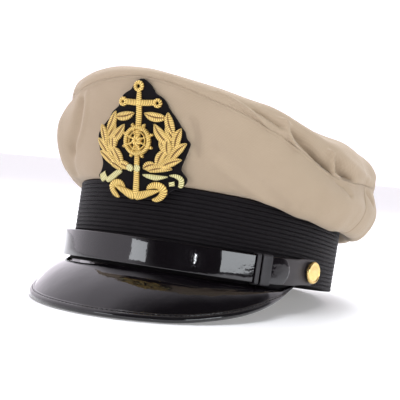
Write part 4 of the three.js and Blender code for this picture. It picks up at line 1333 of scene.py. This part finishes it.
@dataclass
class Badge:
    """Felt patch with raised gold work: anchor, wheel, laurel and ribbon."""

    height: float = 69.6
    width: float = 65.0
    felt_thickness: float = 2.0
    foot: float = 34.0
    lean: float = 12.1
    bend: float = 100.0
    angle: float = 2.4
    relief: float = 1.9
    coil: float = 1.12
    wheel_height: float = 0.485
    wheel_radius: float = 7.6
    felt: Felt = field(default_factory=Felt)
    # the golds' colours hold painted highlights on the coils' crests and painted shade between the
    # turns
    gold: Bullion = field(default_factory=Bullion)
    # the leaves' gold also darkens its midrib with painted shade
    leaf_gold: Bullion = field(default_factory=lambda: Bullion(
        "gold_bullion_leaf", (0.92, 0.71, 0.26), (0.66, 0.41, 0.10), (0.11, 0.045, 0.010),
        shaded_midrib=True))
    pale: Bullion = field(default_factory=lambda: Bullion(
        "pale_bullion_ribbon", (0.76, 0.72, 0.38), (0.62, 0.56, 0.24), (0.22, 0.17, 0.05), 0.25))

    def point(self, u: Array, v: Array, h: Array) -> Array:
        """Point on the bent badge.

        Args:
            u: mm to the wearer's left of its middle.
            v: mm up from its foot.
            h: mm off the felt.

        Returns:
            Points in the cap's frame.
        """
        u, v, h = np.broadcast_arrays(*(np.asarray(a, float) for a in (u, v, h)))
        lean, turn = math.radians(self.lean), u / self.bend
        face = np.stack([np.sin(turn), -np.cos(turn) * math.cos(lean),
                         -np.cos(turn) * math.sin(lean)], axis=-1)
        sag = self.bend * (1 - np.cos(turn))
        foot = (CAP.half_length + CAP.band_out(self.foot) + 0.4 + self.felt_thickness)
        p = np.stack([self.bend * np.sin(turn),
                      -foot - v * math.sin(lean) + sag * math.cos(lean),
                      self.foot + v * math.cos(lean) + sag * math.sin(lean)], axis=-1)
        p = p + face * h[..., None]
        c, s = math.cos(math.radians(self.angle)), math.sin(math.radians(self.angle))
        x, y = p[..., 0] * c - p[..., 1] * s, p[..., 0] * s + p[..., 1] * c
        return np.stack([x, y, p[..., 2]], axis=-1)

    def patch(self) -> None:
        """Makes the felt with its rolled edge."""
        def place(u: Array, v: Array) -> Array:
            """Points of the surface at shares u and v of it."""
            up = 0.5 - 0.5 * np.cos(np.pi * v)
            share = np.sin((2 * u - 1) * np.pi / 2)
            half = np.where(share > 0, eased(PATCH_ROWS, "up", "left", up),
                            eased(PATCH_ROWS, "up", "right", up)) * self.width / 2
            edge = np.minimum((1 - np.abs(share)) * half, np.minimum(up, 1 - up) * self.height)
            roll = np.clip(1 - edge / 1.1, 0, 1)
            return self.point(share * half, up * self.height,
                              -1.5 * (1 - np.sqrt(1 - roll * roll)))

        def scale(u: Array, v: Array) -> Array:
            """Flat place of the pattern at u and v, in mm."""
            return np.stack([u * self.width, v * self.height], axis=-1)

        piece = shaped_sheet("badge_felt", 110, 130, place, scale, self.felt.material(),
                             middle=np.array([0.0, 0.0, 70.0]))
        wall = walled(piece, 1.0)
        fitted(wall, "black_felt", "badge_patch")

    def stroke(self, bm: bmesh.types.BMesh, stations: Sequence[Station], top: float,
               closed: bool = False, cells: int = 0, rope: float = 0.0, base: float = 0.0,
               groove: float = 0.0, square: bool = False) -> None:
        """Adds a raised cord of bullion along stations to a mesh.

        Args:
            bm: the mesh, in world metres.
            stations: u and v in mm and the half width there.
            top: height of its crest above the felt.
            closed: whether it joins its own start.
            cells: cells along it, or 0 for one each 0.45 mm.
            rope: depth of the coils' own ridges.
            base: height of its foot above the felt.
            groove: depth of a groove along its middle.
            square: whether its ends are cut square.
        """
        pts = np.array([s[:2] for s in stations], float)
        halves = np.array([s[2] for s in stations], float)
        if closed:
            pts, halves = np.vstack([pts, pts[:1]]), np.append(halves, halves[0])
        run = np.concatenate([[0], np.cumsum(np.linalg.norm(np.diff(pts, axis=0), axis=1))])
        rows = np.zeros(len(run), dtype=[("at", float), ("u", float), ("v", float), ("w", float)])
        rows["at"], rows["u"], rows["v"], rows["w"] = run, pts[:, 0], pts[:, 1], halves
        cells = cells or max(8, int(run[-1] / 0.26))
        sides = 10
        grid = bmesh.new()
        bmesh.ops.create_grid(grid, x_segments=cells, y_segments=sides, size=0.5)
        co = np.array([v.co[:] for v in grid.verts])
        at = (co[:, 0] + 0.5) * run[-1]
        side = co[:, 1] * 2
        if closed:
            turn = at / run[-1] * 2 * np.pi
            centre, radius = pts[:-1].mean(axis=0), np.linalg.norm(pts[0] - pts[:-1].mean(axis=0))
            middle = centre + radius * np.stack([np.cos(turn), np.sin(turn)], axis=-1)
            flow = np.stack([-np.sin(turn), np.cos(turn)], axis=-1)
            half = np.full_like(at, halves[0])
        else:
            middle = np.stack([eased(rows, "at", "u", at), eased(rows, "at", "v", at)], axis=-1)
            ahead = np.stack([eased(rows, "at", n, np.clip(at + 0.05, 0, run[-1]))
                              - eased(rows, "at", n, np.clip(at - 0.05, 0, run[-1]))
                              for n in ("u", "v")], axis=-1)
            flow = ahead / np.maximum(np.linalg.norm(ahead, axis=-1, keepdims=True), 1e-9)
            half = eased(rows, "at", "w", at)
            ends = np.clip(np.minimum(at, run[-1] - at) / np.maximum(half, 0.2), 0, 1)
            if not square:
                half = half * np.sqrt(np.clip(1 - (1 - ends) ** 2, 0.03, 1))
        across = np.stack([-flow[:, 1], flow[:, 0]], axis=-1)
        lay = np.sqrt(np.clip(1 - side**2, 0, 1))
        phase = at / self.coil + (np.abs(side) * 0.8 if groove else side * 0.5)
        coil = rope * (0.5 - 0.5 * np.cos(2 * np.pi * phase))
        swell = np.clip(half / max(halves.max(), 1e-6), 0.1, 1) ** 0.5
        h = base + (top - base) * lay * swell + coil * lay - groove * bell(side, 0.16) * lay
        spots = middle + across * (np.sin(side * np.pi / 2) * (half + coil * 0.5))[:, None]
        world = CAP.to_world(self.point(spots[:, 0], spots[:, 1], h))
        layer = grid.loops.layers.uv.new("surface")
        for vert, spot in zip(grid.verts, world):
            vert.co = spot
        pattern = np.stack([phase, side], axis=-1)
        for face in grid.faces:
            for loop in face.loops:
                loop[layer].uv = pattern[loop.vert.index]
        if closed:
            bmesh.ops.remove_doubles(grid, verts=grid.verts[:], dist=1e-6)
        look = Vector(CAP.to_world(self.point(float(pts[:, 0].mean()), float(pts[:, 1].mean()),
                                              -40.0)))
        face_away(grid, look)
        part = bpy.data.meshes.new("part")
        grid.to_mesh(part)
        grid.free()
        bm.from_mesh(part)
        bpy.data.meshes.remove(part)

    def mm(self, rows: Sequence[Station], side: float = 1.0) -> list[Station]:
        """Stations in mm from shares of the badge."""
        return [(side * u * self.width / 2, v * self.height, w * self.width / 2)
                for u, v, w in rows]

    def ring(self, u: float, v: float, radius: float, half: float) -> list[Station]:
        """Stations of a ring about a place given in mm."""
        return [(u + radius * math.cos(a), v + radius * math.sin(a), half)
                for a in np.linspace(0, 2 * math.pi, 17)[:-1]]

    def anchor(self) -> None:
        """Makes the anchor and the ship's wheel on its shank."""
        bm = bmesh.new()
        top = self.relief
        for fluke in ([(0.235, 0.086, 0.012), (0.30, 0.112, 0.045), (0.40, 0.126, 0.058),
                       (0.50, 0.116, 0.066), (0.560, 0.080, 0.068), (0.52, 0.036, 0.058),
                       (0.44, 0.010, 0.045), (0.35, 0.004, 0.015)],
                      [(-0.215, 0.086, 0.012), (-0.31, 0.116, 0.048), (-0.42, 0.116, 0.060),
                       (-0.50, 0.086, 0.062), (-0.475, 0.046, 0.052), (-0.40, 0.014, 0.042),
                       (-0.33, -0.004, 0.015)]):
            self.stroke(bm, self.mm(fluke), top * 0.75, rope=0.35)
        for arm in ([(0.0, 0.018, 0.075), (0.13, 0.032, 0.072), (0.26, 0.052, 0.058),
                     (0.38, 0.070, 0.038), (0.50, 0.086, 0.006)],
                    [(0.04, 0.018, 0.075), (-0.10, 0.036, 0.072), (-0.22, 0.058, 0.056),
                     (-0.32, 0.074, 0.038), (-0.44, 0.096, 0.006)]):
            self.stroke(bm, self.mm(arm), top * 1.15, rope=0.35, base=0.5)
        for side in (-1, 1):
            self.stroke(bm, self.ring(side * 0.352 * self.width / 2, 0.803 * self.height,
                                      1.80, 0.95), top * 0.95, closed=True, rope=0.2, cells=60)
        self.stroke(bm, self.mm([(-0.315, 0.806, 0.050), (-0.1, 0.800, 0.052),
                                 (0.1, 0.800, 0.052), (0.315, 0.806, 0.050)]), top * 0.85,
                    rope=0.35)
        self.stroke(bm, self.mm([(0.03, 0.03, 0.060), (0.018, 0.2, 0.048), (0.0, 0.5, 0.046),
                                 (0.0, 0.7, 0.052), (-0.020, 0.84, 0.044),
                                 (-0.026, 0.905, 0.032)]), top * 0.95, rope=0.4)
        self.stroke(bm, self.ring(-0.038 * self.width / 2, 0.936 * self.height, 2.15, 1.05),
                    top * 0.95, closed=True, rope=0.2, cells=70)
        self.wheel(bm)
        piece = finish_mesh(bm, "badge_anchor_and_wheel", self.gold.material())
        fitted(piece, "gold_bullion", "badge_anchor")

    def wheel(self, bm: bmesh.types.BMesh) -> None:
        """Adds a ship's wheel: hub, rim, and eight spokes with handles."""
        cu, cv, r = 0.0, self.wheel_height * self.height, self.wheel_radius
        top = self.relief
        for i in range(8):
            a = math.pi * (i + 0.5) / 4
            c, s = math.cos(a), math.sin(a)
            spoke = [(cu + c * 1.2, cv + s * 1.2, 0.55), (cu + c * r, cv + s * r, 0.55)]
            self.stroke(bm, spoke, top * 1.25, rope=0.16)
            handle = [(cu + c * (r + 0.6), cv + s * (r + 0.6), 0.5),
                      (cu + c * (r + 1.7), cv + s * (r + 1.7), 0.95),
                      (cu + c * (r + 3.1), cv + s * (r + 3.1), 0.5)]
            self.stroke(bm, handle, top * 1.1, rope=0.2)
        self.stroke(bm, self.ring(cu, cv, r, 1.10), top * 1.45, closed=True, rope=0.3, cells=190)
        self.stroke(bm, self.ring(cu, cv, r - 2.3, 0.45), top * 1.15, closed=True, rope=0.1,
                    cells=110)
        self.stroke(bm, self.ring(cu, cv, 1.55, 1.5), top * 1.6, closed=True, rope=0.25, cells=44)

    def wreath(self, name: str, side: int, leaves: Array, node: str,
               material: bpy.types.Material) -> None:
        """Makes one laurel branch: a stem and its grooved leaves.

        Args:
            name: the piece's name.
            side: 1 toward the wearer's left, -1 toward the right.
            leaves: the branch's table of leaves.
            node: the solid that it stands for.
            material: its finish.
        """
        stem = [(0.20, 0.250, 0.035), (0.38, 0.272, 0.04), (0.56, 0.335, 0.035),
                (0.66, 0.42, 0.035), (0.69, 0.53, 0.03), (0.64, 0.63, 0.025), (0.53, 0.69, 0.02)]
        bm = bmesh.new()
        self.stroke(bm, self.mm(stem, side), self.relief * 0.6, rope=0.06)
        for i, leaf in enumerate(leaves):
            root = np.array([leaf["root_u"] * self.width / 2, leaf["root_v"] * self.height])
            run = np.array([leaf["tip_u"] * self.width / 2,
                            leaf["tip_v"] * self.height]) - root
            aside = np.array([-run[1], run[0]])
            rows = []
            for at, share in ((0.0, 0.35), (0.18, 0.80), (0.42, 1.0), (0.68, 0.88),
                              (0.88, 0.45), (1.0, 0.05)):
                spot = root + run * at + aside * side * 0.07 * math.sin(math.pi * at)
                rows.append((float(spot[0]), float(spot[1]), float(leaf["half"]) * share))
            first = 0.55 if i < 4 else 0.95
            self.stroke(bm, rows, self.relief * (first - 0.06 * (i % 3)), rope=0.40,
                        groove=0.5, base=0.10 * (i % 4))
        fitted(finish_mesh(bm, name, material), "gold_bullion", node)

    def ribbon(self, name: str, runs: Sequence[Sequence[Station]], node: str,
               material: bpy.types.Material) -> None:
        """Makes one end of the ribbon from flat stitched runs."""
        bm = bmesh.new()
        for i, run in enumerate(runs):
            knot = 0.95 if len(run) == 3 else 0.0
            self.stroke(bm, self.mm(run), self.relief * (0.72 - 0.04 * (i % 2)) + knot,
                        rope=0.22, base=knot, square=len(run) == 2)
        fitted(finish_mesh(bm, name, material), "pale_bullion", node)

    def build(self) -> None:
        """Makes the whole badge."""
        self.patch()
        self.anchor()
        leaf, pale = self.leaf_gold.material(), self.pale.material()
        self.wreath("badge_laurel_left", 1, LEAVES_LEFT, "badge_wreath_left", leaf)
        self.wreath("badge_laurel_right", -1, LEAVES_RIGHT, "badge_wreath_right", leaf)
        self.ribbon("badge_ribbon_end_left", [
            [(-0.02, 0.240, 0.05), (0.03, 0.254, 0.075), (0.09, 0.262, 0.05)],
            [(0.136, 0.204, 0.010), (0.26, 0.196, 0.040), (0.42, 0.190, 0.046),
             (0.62, 0.204, 0.008)],
            [(0.648, 0.216, 0.010), (0.76, 0.215, 0.034), (0.86, 0.192, 0.046),
             (0.875, 0.150, 0.046), (0.84, 0.122, 0.040)],
            [(0.695, 0.165, 0.05), (0.71, 0.130, 0.05)]], "badge_ribbon_left", pale)
        self.ribbon("badge_ribbon_end_right", [
            [(-0.17, 0.276, 0.045), (-0.12, 0.256, 0.062), (-0.06, 0.232, 0.045)],
            [(-0.31, 0.222, 0.040), (-0.42, 0.196, 0.052), (-0.53, 0.156, 0.056),
             (-0.66, 0.122, 0.050)],
            [(-0.655, 0.176, 0.078), (-0.79, 0.140, 0.078)]], "badge_ribbon_right", pale)


# ------------------------------------------------------------------ studio
UNREFLECTED = "key_high"
LAMP_COLOUR = (0.92, 0.96, 1.0)
LAMP_AIM = (0.0, -0.06, 0.06)


@dataclass
class Studio:
    """Pale floor, soft lights and the camera."""

    focal: float = 901.9
    image: float = 400.0
    sensor: float = 36.0
    turn: float = 29.3
    tilt: float = -5.5
    roll: float = 9.1
    shift: tuple[float, float] = (3.2, -49.2)
    distance: float = 619.0
    glow: float = 1.32
    glow_front: float = 0.05
    floor_glow: float = 0.24
    dark_side: tuple[float, float, float] = (0.78, -0.45, 0.43)
    # name, azimuth from the front and height in degrees, metres away, width,
    # height and radiance
    boxes: tuple[tuple[str, float, float, float, float, float, float], ...] = (
        ("strip_front", -11.0, 9.5, 1.2, 0.38, 0.22, 6.3),
        ("window_right", 76.0, 9.0, 1.2, 0.68, 0.34, 6.4),
        ("back_top", 200.0, 55.0, 1.6, 1.0, 1.2, 5.2),
        (UNREFLECTED, 40.0, 66.0, 1.5, 0.9, 0.9, 5.6),
        ("far_lamp", 32.0, 8.0, 1.2, 0.016, 0.032, 60.0),
    )

    def camera(self) -> None:
        """Places the camera at the photograph's angle."""
        phi, delta, lam = (math.radians(a) for a in (self.turn, self.tilt, self.roll))
        back = Vector((math.cos(delta) * math.sin(phi), -math.cos(delta) * math.cos(phi),
                       math.sin(delta)))
        level = Vector((math.cos(phi), math.sin(phi), 0))
        upward = back.cross(level)
        right = level * math.cos(lam) + upward * math.sin(lam)
        up = upward * math.cos(lam) - level * math.sin(lam)
        eye = -right * self.shift[0] - up * self.shift[1] + back * self.distance
        turn = CAP.turn()
        axes = [turn @ a for a in (right, up, back)]
        matrix = Matrix(axes).transposed().to_4x4()
        matrix.translation = Vector(CAP.to_world(np.array(eye)))
        data = bpy.data.cameras.new("photo_camera")
        data.sensor_width = self.sensor
        data.lens = self.focal / self.image * self.sensor
        data.clip_start = 0.01
        camera = bpy.data.objects.new("photo_camera", data)
        camera.matrix_world = matrix
        bpy.context.scene.collection.objects.link(camera)
        bpy.context.scene.camera = camera

    def floor(self) -> None:
        """Lays a plain pale floor."""
        n = Nodes("pale_floor")
        mottle = n.noise(n.coords("Object"), 3.0, 2.0)
        n.set(Base_Color=n.ramp(mottle, [(0.0, (0.86, 0.86, 0.865)), (1.0, (0.88, 0.88, 0.885))]),
              Roughness=0.6, Specular_IOR_Level=0.2, Emission_Strength=self.floor_glow)
        n.shader.inputs["Emission Color"].default_value = (1.0, 1.0, 1.0, 1.0)
        bm = bmesh.new()
        bmesh.ops.create_grid(bm, x_segments=2, y_segments=2, size=60.0)
        piece = finish_mesh(bm, "floor", n.material)

    @staticmethod
    def softbox(name: str, azimuth: float, climb: float, away: float, width: float,
                height: float, radiance: float) -> None:
        """Hangs a rectangular soft light that looks at the cap.

        The high key light lights the cap but isn't mirrored in its lacquer.

        Args:
            name: its name.
            azimuth: degrees from the front toward the wearer's left.
            climb: degrees above the table.
            away: metres from the cap.
            width: its width in metres.
            height: its height in metres.
            radiance: how bright its face is, the room's glow being about 1.
        """
        a, c = math.radians(azimuth), math.radians(climb)
        aim = Vector(LAMP_AIM)
        spot = aim + away * Vector((math.sin(a) * math.cos(c), -math.cos(a) * math.cos(c),
                                    math.sin(c)))
        data = bpy.data.lights.new(name, "AREA")
        data.shape = "RECTANGLE"
        data.size, data.size_y = width, height
        data.energy = radiance * math.pi * width * height
        data.color = LAMP_COLOUR
        lamp = bpy.data.objects.new(name, data)
        lamp.location = spot
        lamp.rotation_euler = (aim - spot).to_track_quat("-Z", "Y").to_euler()
        lamp.visible_camera = False
        lamp.visible_glossy = name != UNREFLECTED
        bpy.context.scene.collection.objects.link(lamp)

    def lights(self) -> None:
        """Hangs the lights and sets the room's own glow."""
        world = bpy.data.worlds.new("studio_glow")
        world.use_nodes = True
        tree = world.node_tree
        background = tree.nodes["Background"]
        background.inputs["Color"].default_value = (1.0, 0.945, 1.03, 1.0)
        toward = tree.nodes.new("ShaderNodeVectorMath")
        toward.operation = "DOT_PRODUCT"
        toward.inputs[1].default_value = self.dark_side
        tree.links.new(tree.nodes.new("ShaderNodeTexCoord").outputs["Generated"],
                       toward.inputs[0])
        fade = tree.nodes.new("ShaderNodeMapRange")
        fade.interpolation_type = "SMOOTHSTEP"
        for key, value in (("From Min", 0.12), ("From Max", 0.64),
                           ("To Min", self.glow), ("To Max", self.glow_front)):
            fade.inputs[key].default_value = value
        tree.links.new(toward.outputs["Value"], fade.inputs["Value"])
        tree.links.new(fade.outputs["Result"], background.inputs["Strength"])
        bpy.context.scene.world = world
        for box in self.boxes:
            self.softbox(*box)

    def build(self) -> None:
        """Sets up the whole studio."""
        view = bpy.context.scene.view_settings
        view.view_transform = "Standard"
        view.look = "None"
        self.floor()
        self.lights()
        self.camera()


def main() -> None:
    """Builds the cap's pieces in order, then the studio."""
    logging.basicConfig(level=logging.INFO, format="%(name)s: %(message)s")
    for part in (Band(), Crown(), Visor(), FrontStrap(), Badge()):
        part.build()
    Studio().build()
    bpy.context.view_layer.update()


if __name__ == "__main__":
    main()
